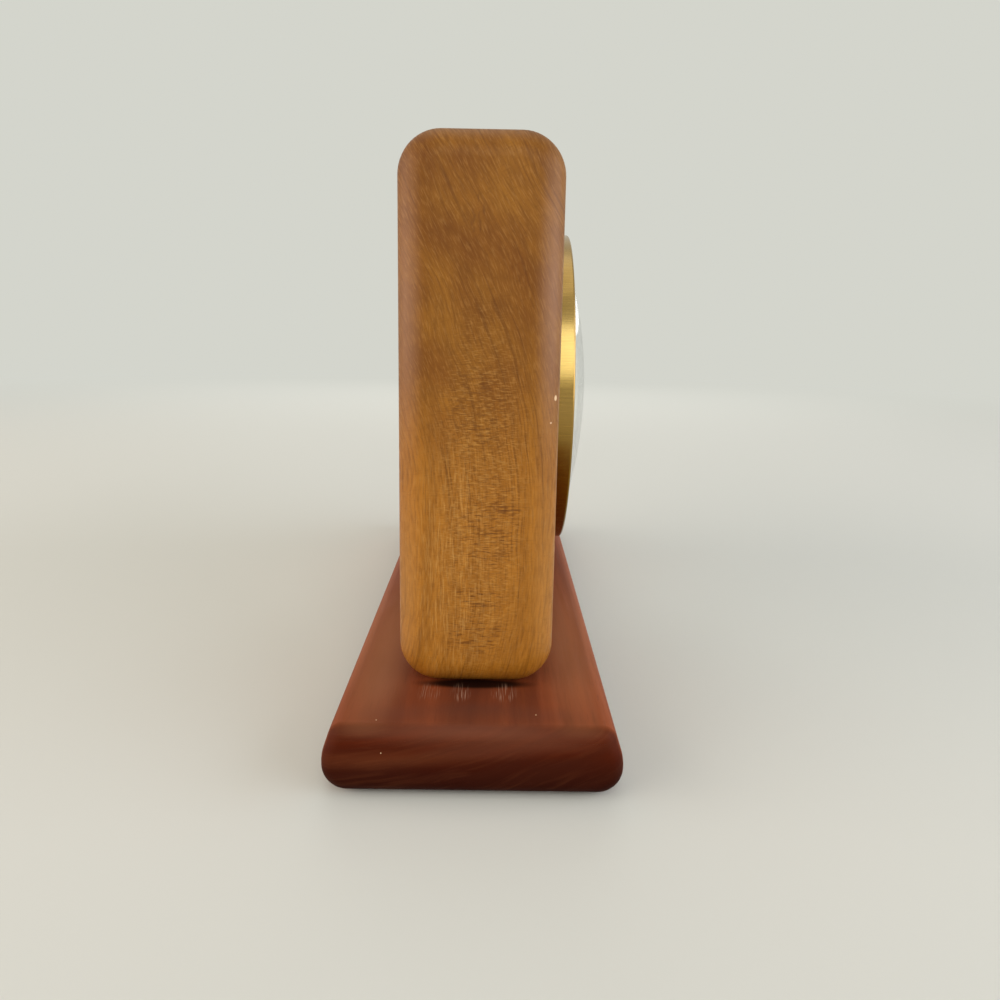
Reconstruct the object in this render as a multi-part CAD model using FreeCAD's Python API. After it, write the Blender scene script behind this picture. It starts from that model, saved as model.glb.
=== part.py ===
"""Wooden desk clock: a solid block of wood on a wider wooden foot, with a round brass-rimmed
clock let into its front and an eight-day spring-driven movement behind the dial.

Millimetres, +Z up. The origin is the middle of the underside. X runs along the length of the
clock, the dial faces -Y, and the hands, the train and the winding arbor all turn about Y.
"""
import FreeCAD, Part
import math
import os

os.makedirs("parts", exist_ok=True)

# General clearances
overrun = 1.0
seat_slack = 0.05
running_slack = 0.04
turn_gap = 0.3

# Wooden block
block_length = 212.0
block_thickness = 38.1
block_height = 130.5
block_edge_radius = 10.0
block_end_radius = 7.0
bore_slack = 0.6
rebate_slack = 0.3

# Wooden foot and its felt
foot_length = 256.0
foot_width = 68.6
foot_thickness = 16.1
foot_lower_radius = 5.9
foot_flank_start = 8.4
foot_flank_lean = 2.6
foot_flank_radius = 11.0
foot_upper_radius = 3.2
foot_end_radius = 3.0
felt_thickness = 1.0
felt_margin = 9.0

# Wood screws that join foot and block
wood_screw_spread = 62.0
wood_screw_radius = 2.1
wood_screw_head_radius = 4.2
wood_screw_head_depth = 2.4
wood_screw_reach = 15.0
wood_screw_slot_width = 1.0
wood_screw_slot_depth = 0.9

# Bezel, glass and dial
bezel_overhang = 6.5
bezel_depth = 8.1
bezel_wall = 0.9
bezel_lip_width = 4.7
bezel_lip_rounding = 0.6
glass_thickness = 1.6
glass_rise = 7.1
glass_rim_slack = 0.5
glass_seat = 0.3
sight_ring_lean = 1.2
sight_ring_foot = 2.6
sight_ring_wall = 0.8
dial_thickness = 0.5
dial_hole_slack = 0.5
dial_foot_edge = 3.2
dial_foot_radius = 1.6
dial_foot_rivet_radius = 0.9
dial_foot_angles = (8.0, 118.0, 242.0)

# Can and rear cover
can_gap = 4.2
can_wall = 0.8
can_flange_slack = 0.6
can_flange_thickness = 0.7
can_tail = 1.0
cover_thickness = 0.8
cover_slack = 0.2
cover_skirt = 1.6
cover_key_hole_slack = 1.2
cover_knob_hole_slack = 0.8
cover_dish_inset = 14.5
cover_dish_depth = 1.2
cover_dish_slope = 1.0
rebate_chamfer = 0.6
clamp_ring_overlap = 3.6
clamp_ring_thickness = 1.2
clamp_ring_gap = 3.2
clamp_screw_gap = 0.2
clamp_screw_radius = 1.2
clamp_screw_head_radius = 2.2
clamp_screw_head_height = 1.4
clamp_screw_tail = 1.4
clamp_screw_angles = (30.0, 150.0, 270.0)

# Movement frame
motion_space = 5.55
plate_thickness = 1.3
plate_space = 14.0
plate_margin = 1.5
cover_space = 6.6
pillar_edge = 5.2
pillar_radius = 2.2
pillar_stub_radius = 1.3
pillar_stub_tail = 2.6
pillar_angles = (76.0, 152.0, 205.0, 338.0)
post_radius = 2.5
cover_screw_radius = 1.2
cover_screw_depth = 3.0
cover_screw_head_radius = 2.3
cover_screw_head_height = 1.4
screw_slot_width = 0.6
screw_slot_depth = 0.6

# Teeth, as shares of the module and of the pitch
wheel_addendum_share = 0.95
wheel_dedendum_share = 1.15
wheel_tip_share = 0.17
wheel_root_share = 0.50
leaf_addendum_share = 0.75
leaf_dedendum_share = 1.20
leaf_tip_share = 0.17
leaf_root_share = 0.42

# Going train: tooth counts, modules and where each arbor stands
barrel_teeth, barrel_module = 72, 0.46
second_leaves = 12
second_teeth, second_module = 60, 0.40
centre_leaves = 10
centre_teeth, centre_module = 64, 0.36
third_leaves = 8
third_teeth, third_module = 60, 0.32
fourth_leaves = 8
fourth_teeth, fourth_module = 64, 0.28
escape_leaves = 8
barrel_drop = 21.5
third_bearing = 150.0
fourth_bearing = 60.0
escape_bearing = 10.0
lever_bearing = -25.0
balance_bearing = -5.0

# Train heights above the front plate
wheel_thickness = 0.9
leaf_length = 1.9
centre_wheel_height = 1.0
second_wheel_height = 2.9
third_wheel_height = 4.9
fourth_wheel_height = 7.1
escape_wheel_height = 9.4
barrel_height = 4.4
arbor_radius = 0.75
pivot_radius = 0.5
wheel_rim = 1.1
wheel_hub = 1.3
wheel_spokes = 4
spoke_width = 1.1

# Mainspring barrel
barrel_drum_length = 8.2
barrel_wall = 0.8
barrel_floor = 1.0
barrel_tooth_step = 1.0
barrel_lid_thickness = 0.8
barrel_arbor_radius = 1.6
barrel_arbor_hub_radius = 2.9
barrel_arbor_pivot_radius = 1.0
barrel_arbor_rear_radius = 2.2
mainspring_turns = 6
mainspring_strip = 0.35
mainspring_height_gap = 0.4
mainspring_hub_gap = 0.5
mainspring_wall_gap = 0.5

# Ratchet, click and key
ratchet_teeth = 24
ratchet_radius = 8.0
ratchet_tooth_depth = 1.1
ratchet_thickness = 1.0
ratchet_lift = 0.6
ratchet_square = 3.0
click_bearing = 60.0
click_reach = 10.3
click_nose_turn = 41.0
click_hub_radius = 1.9
click_thickness = 0.9
click_nose_gap = 0.15
click_nose_width = 1.75
click_spring_foot_reach = 14.2
click_spring_foot_turn = 23.0
click_spring_foot_radius = 1.5
click_spring_strip = 0.3
click_spring_end_gap = 1.6
click_spring_end_turn = 8.0
click_post_radius = 0.9
click_post_head_radius = 1.6
click_post_head_height = 0.7
key_stem_radius = 2.7
key_stem_length = 5.4
key_wing_width = 17.6
key_wing_thickness = 1.7
key_lobe_radius = 2.7
key_lobe_hole_radius = 1.1
key_wing_waist = 3.0
key_wing_seat = 0.4
key_cover_gap = 0.6
key_socket_radius = 1.6

# Centre arbor, motion work and hands
hand_arbor_radius = 0.9
centre_pipe_radius = 1.45
cannon_leaves = 12
motion_module = 0.40
minute_wheel_teeth = 36
minute_leaves = 10
hour_teeth = 40
cannon_height = 0.5
motion_wheel_thickness = 0.8
cannon_leaf_length = 1.2
motion_leaf_length = 1.5
hour_wheel_set = 0.2
cannon_pipe_radius = 1.5
hour_pipe_radius = 2.2
minute_post_radius = 0.8
minute_post_bearing = 250.0
hour_hand_height = 1.2
hand_step = 1.3
hand_thickness = 0.4
hour_hand_length = 26.5
hour_hand_width = 3.4
hour_hub_radius = 3.6
minute_hand_length = 38.5
minute_hand_width = 2.6
minute_hub_radius = 3.0
hand_tail = 7.0
hand_nut_radius = 1.9
hand_nut_height = 1.0
hand_point_share = 0.94
hand_stem_share = 0.45
shown_hour = 10
minute_hand_angle = 54.0
minute_post_head_radius = 1.3
minute_post_head_height = 0.4
clutch_radius = 2.2
clutch_thickness = 0.3
clutch_rise = 0.5
collar_radius = 2.0
collar_length = 1.2
rear_journal_radius = 1.3
knob_radius = 5.6
knob_length = 6.8
knob_cover_gap = 0.8
knob_flutes = 16
knob_flute_radius = 0.5

# Escapement
escape_teeth = 15
escape_radius = 6.2
escape_tooth_depth = 1.5
escape_heel_share = -0.12
escape_tip_share = 0.03
escape_slope_share = 0.30
escape_thickness = 0.6
lever_reach = 8.4
lever_thickness = 0.8
lever_span_share = 3.5 / 15
lever_wheel_gap = 0.35
lever_hub_radius = 1.2
lever_arm_width = 1.1
pallet_pin_radius = 0.22
pallet_pin_gap = 0.12
fork_reach = 10.6
fork_gap = 1.75
fork_width = 1.6
fork_slot_width = 0.6
fork_slot_depth = 0.7
balance_wheel_height = 11.2
balance_radius = 8.4
balance_rim = 1.2
balance_thickness = 1.0
balance_spoke_width = 1.2
balance_staff_radius = 0.6
balance_pivot_radius = 0.35
balance_pivot_length = 0.6
roller_radius = 1.4
roller_thickness = 0.5
roller_lever_gap = 0.15
roller_pin_ring = 1.0
roller_pin_radius = 0.22
hairspring_turns = 6
hairspring_radius = 5.8
hairspring_strip = 0.14
hairspring_height = 0.6
hairspring_lift = 0.35
collet_radius = 1.3
stud_radius = 0.6
bearing_screw_radius = 1.4
bearing_screw_head_radius = 2.4
bearing_screw_head_height = 1.0
bearing_screw_cup = 0.8
regulator_ring_width = 1.3
regulator_thickness = 0.6
regulator_bearing = 140.0
regulator_reach = 9.5
regulator_arm_width = 1.6
regulator_tail_radius = 0.6
regulator_tail_stand = 1.4
regulator_swing = 15.0
regulator_slot_slack = 0.3
curb_bearing = 225.0
curb_pin_radius = 0.2
curb_pin_spread = 0.5
curb_arm_width = 1.8

# Stations along Y, from the front of the block to the back
block_front = -block_thickness / 2
block_back = block_thickness / 2
dial_back = block_front - can_flange_thickness
dial_front = dial_back - dial_thickness
front_plate_front = dial_back + motion_space
front_plate_back = front_plate_front + plate_thickness
back_plate_front = front_plate_back + plate_space
back_plate_back = back_plate_front + plate_thickness
cover_front = back_plate_back + cover_space
cover_back = cover_front + cover_thickness
dish_front = cover_front - cover_dish_depth
dish_back = cover_back - cover_dish_depth
clamp_front = cover_back + clamp_ring_gap
clamp_back = clamp_front + clamp_ring_thickness
bezel_front = block_front - bezel_depth
lip_back = bezel_front + bezel_wall
glass_back = lip_back + glass_thickness
glass_front = bezel_front - glass_rise

# Heights along Z
foot_bottom = felt_thickness
foot_top = foot_bottom + foot_thickness
dial_height = foot_top + block_height / 2

# Radii about the dial's centre, from the barrel outwards to the bezel
barrel_tip_radius = barrel_module * (barrel_teeth / 2 + wheel_addendum_share)
plate_radius = barrel_drop + barrel_tip_radius + plate_margin
pillar_ring = plate_radius - pillar_edge
dial_foot_ring = plate_radius - dial_foot_edge
can_radius = plate_radius + can_gap + can_wall
bezel_radius = can_radius + bezel_overhang
bezel_lip_inner_radius = bezel_radius - bezel_lip_width
sight_ring_inner_radius = bezel_lip_inner_radius - sight_ring_lean
can_flange_radius = bezel_radius - bezel_wall - can_flange_slack
cover_radius = can_radius - can_wall - cover_slack
cover_dish_radius = cover_radius - cover_dish_inset
clamp_screw_ring = cover_radius - cover_thickness - clamp_screw_gap - clamp_screw_radius
clamp_ring_radius = can_radius + clamp_ring_overlap
clamp_ring_inner_radius = clamp_screw_ring - clamp_screw_head_radius

# Where the arbors stand, as (x, z)
barrel_mesh = barrel_module * (barrel_teeth + second_leaves) / 2
second_mesh = second_module * (second_teeth + centre_leaves) / 2
centre_mesh = centre_module * (centre_teeth + third_leaves) / 2
third_mesh = third_module * (third_teeth + fourth_leaves) / 2
fourth_mesh = fourth_module * (fourth_teeth + escape_leaves) / 2
motion_mesh = motion_module * (cannon_leaves + minute_wheel_teeth) / 2
hour_module = 2 * motion_mesh / (minute_leaves + hour_teeth)


def beside(spot, reach, bearing):
    """The place at a distance and bearing, in degrees from +X towards +Z, from another."""
    angle = math.radians(bearing)
    return spot[0] + reach * math.cos(angle), spot[1] + reach * math.sin(angle)


def bearing_of(spot, other):
    """The bearing, in degrees, at which one place sees another."""
    return math.degrees(math.atan2(other[1] - spot[1], other[0] - spot[0]))


def between(spot, reach, other, other_reach):
    """The place at given distances from two others, on the right of the line between them."""
    span = math.hypot(other[0] - spot[0], other[1] - spot[1])
    cosine = (span**2 + reach**2 - other_reach**2) / (2 * span * reach)
    return beside(spot, reach, bearing_of(spot, other) + math.degrees(math.acos(cosine)))


centre = (0.0, dial_height)
barrel = beside(centre, barrel_drop, -90.0)
second = between(centre, second_mesh, barrel, barrel_mesh)
third = beside(centre, centre_mesh, third_bearing)
fourth = beside(third, third_mesh, fourth_bearing)
escape = beside(fourth, fourth_mesh, escape_bearing)
lever = beside(escape, lever_reach, lever_bearing)
balance = beside(lever, fork_reach, balance_bearing)
minute_post = beside(centre, motion_mesh, minute_post_bearing)
click_spot = beside(barrel, click_reach, click_bearing)
nose_bearing = click_bearing - click_nose_turn
spring_foot = beside(barrel, click_spring_foot_reach, nose_bearing + click_spring_foot_turn)
stud = beside(balance, hairspring_radius + hairspring_strip + stud_radius + turn_gap, 180.0)


# Shared shapes
def at(spot, y):
    """A point from a place on the dial's plane and a station along Y."""
    return FreeCAD.Vector(spot[0], y, spot[1])


def rod(spot, radius, y_from, y_to):
    """A round bar along Y."""
    return Part.makeCylinder(radius, y_to - y_from, at(spot, y_from), FreeCAD.Vector(0, 1, 0))


def tube(spot, outer, inner, y_from, y_to):
    """A round tube along Y."""
    return rod(spot, outer, y_from, y_to).cut(rod(spot, inner, y_from - overrun, y_to + overrun))


def turned(spot, profile):
    """A solid turned about Y from (radius, y) corners."""
    corners = [FreeCAD.Vector(spot[0] + radius, y, spot[1]) for radius, y in profile]
    face = Part.Face(Part.makePolygon(corners + corners[:1]))
    return face.revolve(at(spot, 0), FreeCAD.Vector(0, 1, 0), 360)


def plate_of(corners, y_from, thickness):
    """A flat piece along Y from (x, z) corners."""
    points = [at(corner, y_from) for corner in corners]
    face = Part.Face(Part.makePolygon(points + points[:1]))
    return solid_of(face.extrude(FreeCAD.Vector(0, thickness, 0)))


def bar_of(spot, bearing, start, stop, width_start, width_stop, y_from, thickness):
    """A flat tapered bar that runs out from a place at a bearing."""
    middle = [beside(spot, reach, bearing) for reach in (start, stop)]
    side = bearing + 90
    return plate_of(
        [
            beside(middle[0], width_start / 2, side),
            beside(middle[1], width_stop / 2, side),
            beside(middle[1], -width_stop / 2, side),
            beside(middle[0], -width_start / 2, side),
        ],
        y_from,
        thickness,
    )


def solid_of(shape):
    """The shape's one solid, with its faces turned outwards."""
    solid = shape.Solids[0]
    return solid if solid.Volume > 0 else solid.reversed()


def joined(first, *others):
    """Solids fused into one, with seams in flat faces removed."""
    return first.fuse(list(others)).removeSplitter()


def toothed(spot, teeth, tip, root, tip_share, root_share, bearing, y_from, thickness):
    """A toothed disc with straight flanks and one tooth centred on the bearing."""
    pitch = 2 * math.pi / teeth
    corners = []
    for tooth in range(teeth):
        middle = math.radians(bearing) + tooth * pitch
        for radius, share in ((root, -root_share), (tip, -tip_share), (tip, tip_share), (root, root_share)):
            angle = middle + share * pitch / 2
            corners.append((spot[0] + radius * math.cos(angle), spot[1] + radius * math.sin(angle)))
    return plate_of(corners, y_from, thickness)


def wheel_blank(spot, teeth, module, bearing, y_from, thickness):
    """A wheel's toothed disc, with a tooth on the bearing."""
    return toothed(
        spot, teeth,
        module * (teeth / 2 + wheel_addendum_share), module * (teeth / 2 - wheel_dedendum_share),
        wheel_tip_share, wheel_root_share, bearing, y_from, thickness,
    )


def leaf_blank(spot, leaves, module, bearing, y_from, length):
    """A pinion's leaves, with a gap between two leaves on the bearing."""
    return toothed(
        spot, leaves,
        module * (leaves / 2 + leaf_addendum_share), module * (leaves / 2 - leaf_dedendum_share),
        leaf_tip_share, leaf_root_share, bearing + 180.0 / leaves, y_from, length,
    )


def crossed_wheel(spot, teeth, module, bearing, y_from, thickness, bore):
    """A wheel crossed out to a rim, a hub and spokes."""
    blank = wheel_blank(spot, teeth, module, bearing, y_from, thickness)
    rim_inner = module * (teeth / 2 - wheel_dedendum_share) - wheel_rim
    window = tube(spot, rim_inner, bore + wheel_hub, y_from - overrun, y_from + thickness + overrun)
    for spoke in range(wheel_spokes):
        window = window.cut(bar_of(
            spot, bearing + spoke * 360 / wheel_spokes, 0, rim_inner + overrun,
            spoke_width, spoke_width, y_from - overrun - overrun, thickness + 4 * overrun,
        ))
    hole = rod(spot, bore, y_from - overrun, y_from + thickness + overrun)
    return solid_of(blank.cut(window).cut(hole))


def stepped_rod(spot, steps):
    """A turned bar from (radius, y) steps: each radius runs from its y to the next one's."""
    parts = [
        rod(spot, radius, y, steps[number + 1][1])
        for number, (radius, y) in enumerate(steps[:-1])
    ]
    return joined(parts[0], *parts[1:])


def screw(spot, radius, head_radius, head_height, head_from, tip, slot_width, slot_depth):
    """A slotted cylinder-head screw. Its head runs from head_from away from its tip."""
    away = 1 if head_from > tip else -1
    shank = rod(spot, radius, min(tip, head_from), max(tip, head_from))
    top = head_from + away * head_height
    head = rod(spot, head_radius, min(head_from, top), max(head_from, top))
    slot = bar_of(
        spot, 45.0, -head_radius - overrun, head_radius + overrun, slot_width, slot_width,
        min(top, top - away * slot_depth) - (overrun if away < 0 else 0), slot_depth + overrun,
    )
    return joined(shank, head).cut(slot)


def spiral_strip(spot, inner, outer, turns, strip, y_from, height):
    """A flat spiral spring wound from half circles."""
    step = (outer - inner) / (2 * turns)
    edges = []
    for offset in (0, strip):
        side = []
        radius, middle = inner + offset, spot[0]
        for half in range(2 * turns):
            sign = 1 if half % 2 == 0 else -1
            start = FreeCAD.Vector(middle - sign * radius, y_from, spot[1])
            top = FreeCAD.Vector(middle, y_from, spot[1] + sign * radius)
            stop = FreeCAD.Vector(middle + sign * radius, y_from, spot[1])
            side.append(Part.Arc(start, top, stop).toShape())
            middle -= sign * step
            radius += step
        edges.append(side)
    first, last = edges
    ends = [
        Part.makeLine(first[0].Vertexes[0].Point, last[0].Vertexes[0].Point),
        Part.makeLine(first[-1].Vertexes[-1].Point, last[-1].Vertexes[-1].Point),
    ]
    wire = Part.Wire(Part.__sortEdges__(first + last + ends))
    return solid_of(Part.Face(wire).extrude(FreeCAD.Vector(0, height, 0)))


def arc_slot(spot, reach, half_width, bearing, swing, y_from, y_to):
    """The space that a pin sweeps when it swings to both sides of a bearing."""
    band = tube(spot, reach + half_width, reach - half_width, y_from, y_to)
    far = 2 * reach
    wedge = plate_of(
        [
            spot, beside(spot, far, bearing - swing), beside(spot, far, bearing),
            beside(spot, far, bearing + swing),
        ],
        y_from, y_to - y_from,
    )
    ends = [
        rod(beside(spot, reach, bearing + side * swing), half_width, y_from, y_to)
        for side in (-1, 1)
    ]
    return joined(band.common(wedge), *ends)


def ring_of_spots(radius, bearings):
    """Places on a circle about the dial's centre."""
    return [beside(centre, radius, bearing) for bearing in bearings]


def save(name, *solids):
    """Write one node from one or more separate solids."""
    shape = solids[0] if len(solids) == 1 else Part.makeCompound(list(solids))
    shape.exportStep("parts/" + name + ".step")


# Wooden case
def foot_shape():
    """The foot's section along its length, with softened ends."""
    half, lean = foot_width / 2, foot_flank_lean
    flank = foot_bottom + foot_flank_start
    section = [
        (half, foot_bottom), (half, flank), (half - lean, foot_top),
        (lean - half, foot_top), (-half, flank), (-half, foot_bottom),
    ]
    points = [FreeCAD.Vector(-foot_length / 2, y, z) for y, z in section]
    solid = solid_of(
        Part.Face(Part.makePolygon(points + points[:1])).extrude(FreeCAD.Vector(foot_length, 0, 0))
    )
    radii = {foot_bottom: foot_lower_radius, flank: foot_flank_radius, foot_top: foot_upper_radius}
    for height, radius in radii.items():
        edges = [
            edge for edge in solid.Edges
            if edge.Length > foot_length - overrun and abs(edge.CenterOfMass.z - height) < seat_slack
            and abs(edge.CenterOfMass.y) > half - lean - seat_slack
        ]
        solid = solid.makeFillet(radius, edges)
    ends = [edge for edge in solid.Edges if abs(edge.CenterOfMass.x) > foot_length / 2 - seat_slack]
    return solid.makeFillet(foot_end_radius, ends)


def wood_screw_spots():
    """Where the two wood screws stand, as x."""
    return [-wood_screw_spread, wood_screw_spread]


def wood_screw(x, slack):
    """A countersunk wood screw, or with slack the hole that takes it."""
    up = FreeCAD.Vector(0, 0, 1)
    base = FreeCAD.Vector(x, 0, foot_bottom)
    head = Part.makeCone(
        wood_screw_head_radius + slack, wood_screw_radius + slack, wood_screw_head_depth, base, up
    )
    shank = Part.makeCylinder(
        wood_screw_radius + slack, foot_thickness + wood_screw_reach + slack, base, up
    )
    return joined(head, shank)


def make_case():
    """The foot, its felt, the block with its bore, and the screws between them."""
    holes = [wood_screw(x, seat_slack) for x in wood_screw_spots()]
    save("foot", foot_shape().cut(holes))

    felt = Part.makeBox(
        foot_length - 2 * felt_margin, foot_width - 2 * felt_margin, felt_thickness,
        FreeCAD.Vector(felt_margin - foot_length / 2, felt_margin - foot_width / 2, 0),
    )
    save("felt_pad", felt)

    block = Part.makeBox(
        block_length, block_thickness, block_height,
        FreeCAD.Vector(-block_length / 2, block_front, foot_top),
    )
    long_edges = [edge for edge in block.Edges if edge.Length > block_length - overrun]
    block = block.makeFillet(block_edge_radius, long_edges)
    ends = [edge for edge in block.Edges if abs(edge.CenterOfMass.x) > block_length / 2 - seat_slack]
    block = block.makeFillet(block_end_radius, ends)
    bore = rod(centre, can_radius + bore_slack, block_front - overrun, block_back + overrun)
    rebate = rod(centre, clamp_ring_radius + rebate_slack, clamp_front, block_back + overrun)
    block = block.cut([bore, rebate] + holes)
    mouth = [
        edge for edge in block.Edges
        if isinstance(edge.Curve, Part.Circle) and abs(edge.CenterOfMass.y - block_back) < seat_slack
    ]
    save("case_block", solid_of(block.makeChamfer(rebate_chamfer, mouth)))

    screws = []
    for x in wood_screw_spots():
        slot = Part.makeBox(
            2 * (wood_screw_head_radius + overrun), wood_screw_slot_width,
            wood_screw_slot_depth + overrun,
            FreeCAD.Vector(
                x - wood_screw_head_radius - overrun, -wood_screw_slot_width / 2,
                foot_bottom - overrun,
            ),
        )
        screws.append(wood_screw(x, 0).cut(slot))
    save("foot_screws", *screws)


# Bezel, glass and dial
def make_front():
    """The bezel, the domed glass, the ring that holds it and the dial."""
    wall_inner = bezel_radius - bezel_wall
    bezel = turned(centre, [
        (wall_inner, block_front), (bezel_radius, block_front), (bezel_radius, bezel_front),
        (bezel_lip_inner_radius, bezel_front), (bezel_lip_inner_radius, lip_back),
        (wall_inner, lip_back),
    ])
    rounded = [
        edge for edge in bezel.Edges
        if abs(edge.CenterOfMass.y - bezel_front) < seat_slack / 2
        and edge.Length > 2 * math.pi * (bezel_radius - seat_slack)
    ]
    save("bezel", solid_of(bezel.makeFillet(bezel_lip_rounding, rounded)))

    rim = wall_inner - glass_rim_slack
    save("glass", glass_shape(rim))

    ring = turned(centre, [
        (rim, glass_back), (bezel_lip_inner_radius, glass_back), (sight_ring_inner_radius, dial_front),
        (sight_ring_inner_radius + sight_ring_foot, dial_front),
        (sight_ring_inner_radius + sight_ring_foot, dial_front - sight_ring_wall),
        (bezel_lip_inner_radius + sight_ring_wall, glass_back + sight_ring_wall),
        (rim, glass_back + sight_ring_wall),
    ])
    save("sight_ring", solid_of(ring))

    dial = rod(centre, can_flange_radius, dial_front, dial_back)
    hole = rod(centre, hour_pipe_radius + dial_hole_slack, dial_front - overrun, dial_back + overrun)
    save("dial", dial.cut(hole))
    save("dial_feet", *[
        stepped_rod(spot, [
            (dial_foot_radius, dial_back), (dial_foot_rivet_radius, front_plate_front),
            (dial_foot_rivet_radius, front_plate_back),
        ])
        for spot in ring_of_spots(dial_foot_ring, dial_foot_angles)
    ])


def glass_shape(rim):
    """A domed glass of even thickness with a flat rim behind the bezel's lip."""
    dome_edge = bezel_lip_inner_radius - glass_seat
    rise = lip_back - glass_front
    dome_radius = (dome_edge**2 + rise**2) / (2 * rise)

    def dome_point(radius, surface_radius):
        """A point of the domed surface at a distance from the axis."""
        y = glass_front + dome_radius - math.sqrt(surface_radius**2 - radius**2)
        return FreeCAD.Vector(centre[0] + radius, y, centre[1])

    inner_radius = dome_radius - glass_thickness
    inner_edge = math.sqrt(inner_radius**2 - (glass_front + dome_radius - glass_back) ** 2)
    outer = [dome_point(radius, dome_radius) for radius in (0, dome_edge / 2, dome_edge)]
    inner = [dome_point(radius, inner_radius) for radius in (inner_edge, inner_edge / 2, 0)]
    rim_front = FreeCAD.Vector(centre[0] + rim, lip_back, centre[1])
    rim_back = FreeCAD.Vector(centre[0] + rim, glass_back, centre[1])
    wire = Part.Wire([
        Part.Arc(*outer).toShape(), Part.makeLine(outer[-1], rim_front),
        Part.makeLine(rim_front, rim_back), Part.makeLine(rim_back, inner[0]),
        Part.Arc(*inner).toShape(), Part.makeLine(inner[-1], outer[0]),
    ])
    return solid_of(Part.Face(wire).revolve(at(centre, 0), FreeCAD.Vector(0, 1, 0), 360))


# Can, rear cover and clamp ring
def make_housing():
    """The can round the movement, its rear cover, and the ring that clamps it in the bore."""
    can = turned(centre, [
        (can_radius - can_wall, dial_back), (can_flange_radius, dial_back),
        (can_flange_radius, block_front), (can_radius, block_front),
        (can_radius, cover_back + can_tail), (can_radius - can_wall, cover_back + can_tail),
    ])
    save("movement_can", solid_of(can))

    dish_inner = cover_dish_radius - cover_dish_slope
    cover = turned(centre, [
        (0, dish_front), (dish_inner, dish_front), (cover_dish_radius, cover_front),
        (cover_radius - cover_thickness, cover_front),
        (cover_radius - cover_thickness, cover_front - cover_skirt),
        (cover_radius, cover_front - cover_skirt), (cover_radius, cover_back),
        (cover_dish_radius, cover_back), (dish_inner, dish_back), (0, dish_back),
    ])
    hole_spots = [
        (centre, hand_arbor_radius + cover_knob_hole_slack),
        (barrel, barrel_arbor_radius + cover_key_hole_slack),
    ]
    for spot in ring_of_spots(pillar_ring, pillar_angles):
        hole_spots.append((spot, cover_screw_radius + seat_slack))
    for spot in ring_of_spots(clamp_screw_ring, clamp_screw_angles):
        hole_spots.append((spot, clamp_screw_radius + seat_slack))
    holes = [
        rod(spot, radius, dish_front - overrun, cover_back + overrun)
        for spot, radius in hole_spots
    ]
    slot = arc_slot(
        balance, regulator_reach, regulator_tail_radius + regulator_slot_slack,
        regulator_bearing, regulator_swing, dish_front - overrun, cover_back + overrun,
    )
    save("rear_cover", solid_of(solid_of(cover).cut(holes + [slot])))

    clamp = tube(centre, clamp_ring_radius, clamp_ring_inner_radius, clamp_front, clamp_back)
    clamp_holes = [
        rod(spot, clamp_screw_radius + seat_slack, clamp_front - overrun, clamp_back + overrun)
        for spot in ring_of_spots(clamp_screw_ring, clamp_screw_angles)
    ]
    save("clamp_ring", clamp.cut(clamp_holes))
    save("clamp_screws", *[
        screw(
            spot, clamp_screw_radius, clamp_screw_head_radius, clamp_screw_head_height,
            clamp_back, cover_front - clamp_screw_tail, screw_slot_width, screw_slot_depth,
        )
        for spot in ring_of_spots(clamp_screw_ring, clamp_screw_angles)
    ])
    save("cover_screws", *[
        screw(
            spot, cover_screw_radius, cover_screw_head_radius, cover_screw_head_height,
            cover_back, cover_front - cover_screw_depth, screw_slot_width, screw_slot_depth,
        )
        for spot in ring_of_spots(pillar_ring, pillar_angles)
    ])


# Movement frame
def make_frame():
    """The two plates with their bearing holes, the pillars and the posts behind them."""
    pillars = ring_of_spots(pillar_ring, pillar_angles)
    both = [(spot, pillar_stub_radius + seat_slack) for spot in pillars]
    both += [(spot, pivot_radius + running_slack) for spot in (second, third, fourth, escape, lever)]
    both += [(balance, bearing_screw_radius + seat_slack)]
    front = both + [(barrel, barrel_arbor_pivot_radius + running_slack)]
    front += [(centre, centre_pipe_radius + running_slack)]
    front += [(minute_post, minute_post_radius + seat_slack)]
    front += [
        (spot, dial_foot_rivet_radius + seat_slack)
        for spot in ring_of_spots(dial_foot_ring, dial_foot_angles)
    ]
    back = both + [(barrel, barrel_arbor_rear_radius + running_slack)]
    back += [(centre, rear_journal_radius + running_slack)]
    back += [(click_spot, click_post_radius + seat_slack), (spring_foot, click_post_radius + seat_slack)]
    back += [(stud, stud_radius + seat_slack)]
    for name, start, holes in (
        ("front_plate", front_plate_front, front), ("back_plate", back_plate_front, back),
    ):
        plate = rod(centre, plate_radius, start, start + plate_thickness)
        cuts = [
            rod(spot, radius, start - overrun, start + plate_thickness + overrun)
            for spot, radius in holes
        ]
        if name == "back_plate":
            cuts.append(arc_slot(
                balance, hairspring_radius,
                curb_pin_spread + curb_pin_radius + regulator_slot_slack, curb_bearing,
                regulator_swing, start - overrun, start + plate_thickness + overrun,
            ))
        save(name, solid_of(plate.cut(cuts)))
    save("frame_pillars", *[
        stepped_rod(spot, [
            (pillar_stub_radius, front_plate_front), (pillar_radius, front_plate_back),
            (pillar_stub_radius, back_plate_front), (pillar_stub_radius, back_plate_back + pillar_stub_tail),
        ])
        for spot in pillars
    ])
    posts = []
    for spot in pillars:
        blank = hexagon(spot, post_radius, back_plate_back, cover_front - back_plate_back)
        stub_hole = rod(
            spot, pillar_stub_radius + seat_slack, back_plate_back - overrun,
            back_plate_back + pillar_stub_tail + seat_slack,
        )
        screw_hole = rod(
            spot, cover_screw_radius + seat_slack, cover_front - cover_screw_depth - seat_slack,
            cover_front + overrun,
        )
        posts.append(solid_of(blank.cut([stub_hole, screw_hole])))
    save("cover_posts", *posts)


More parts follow.
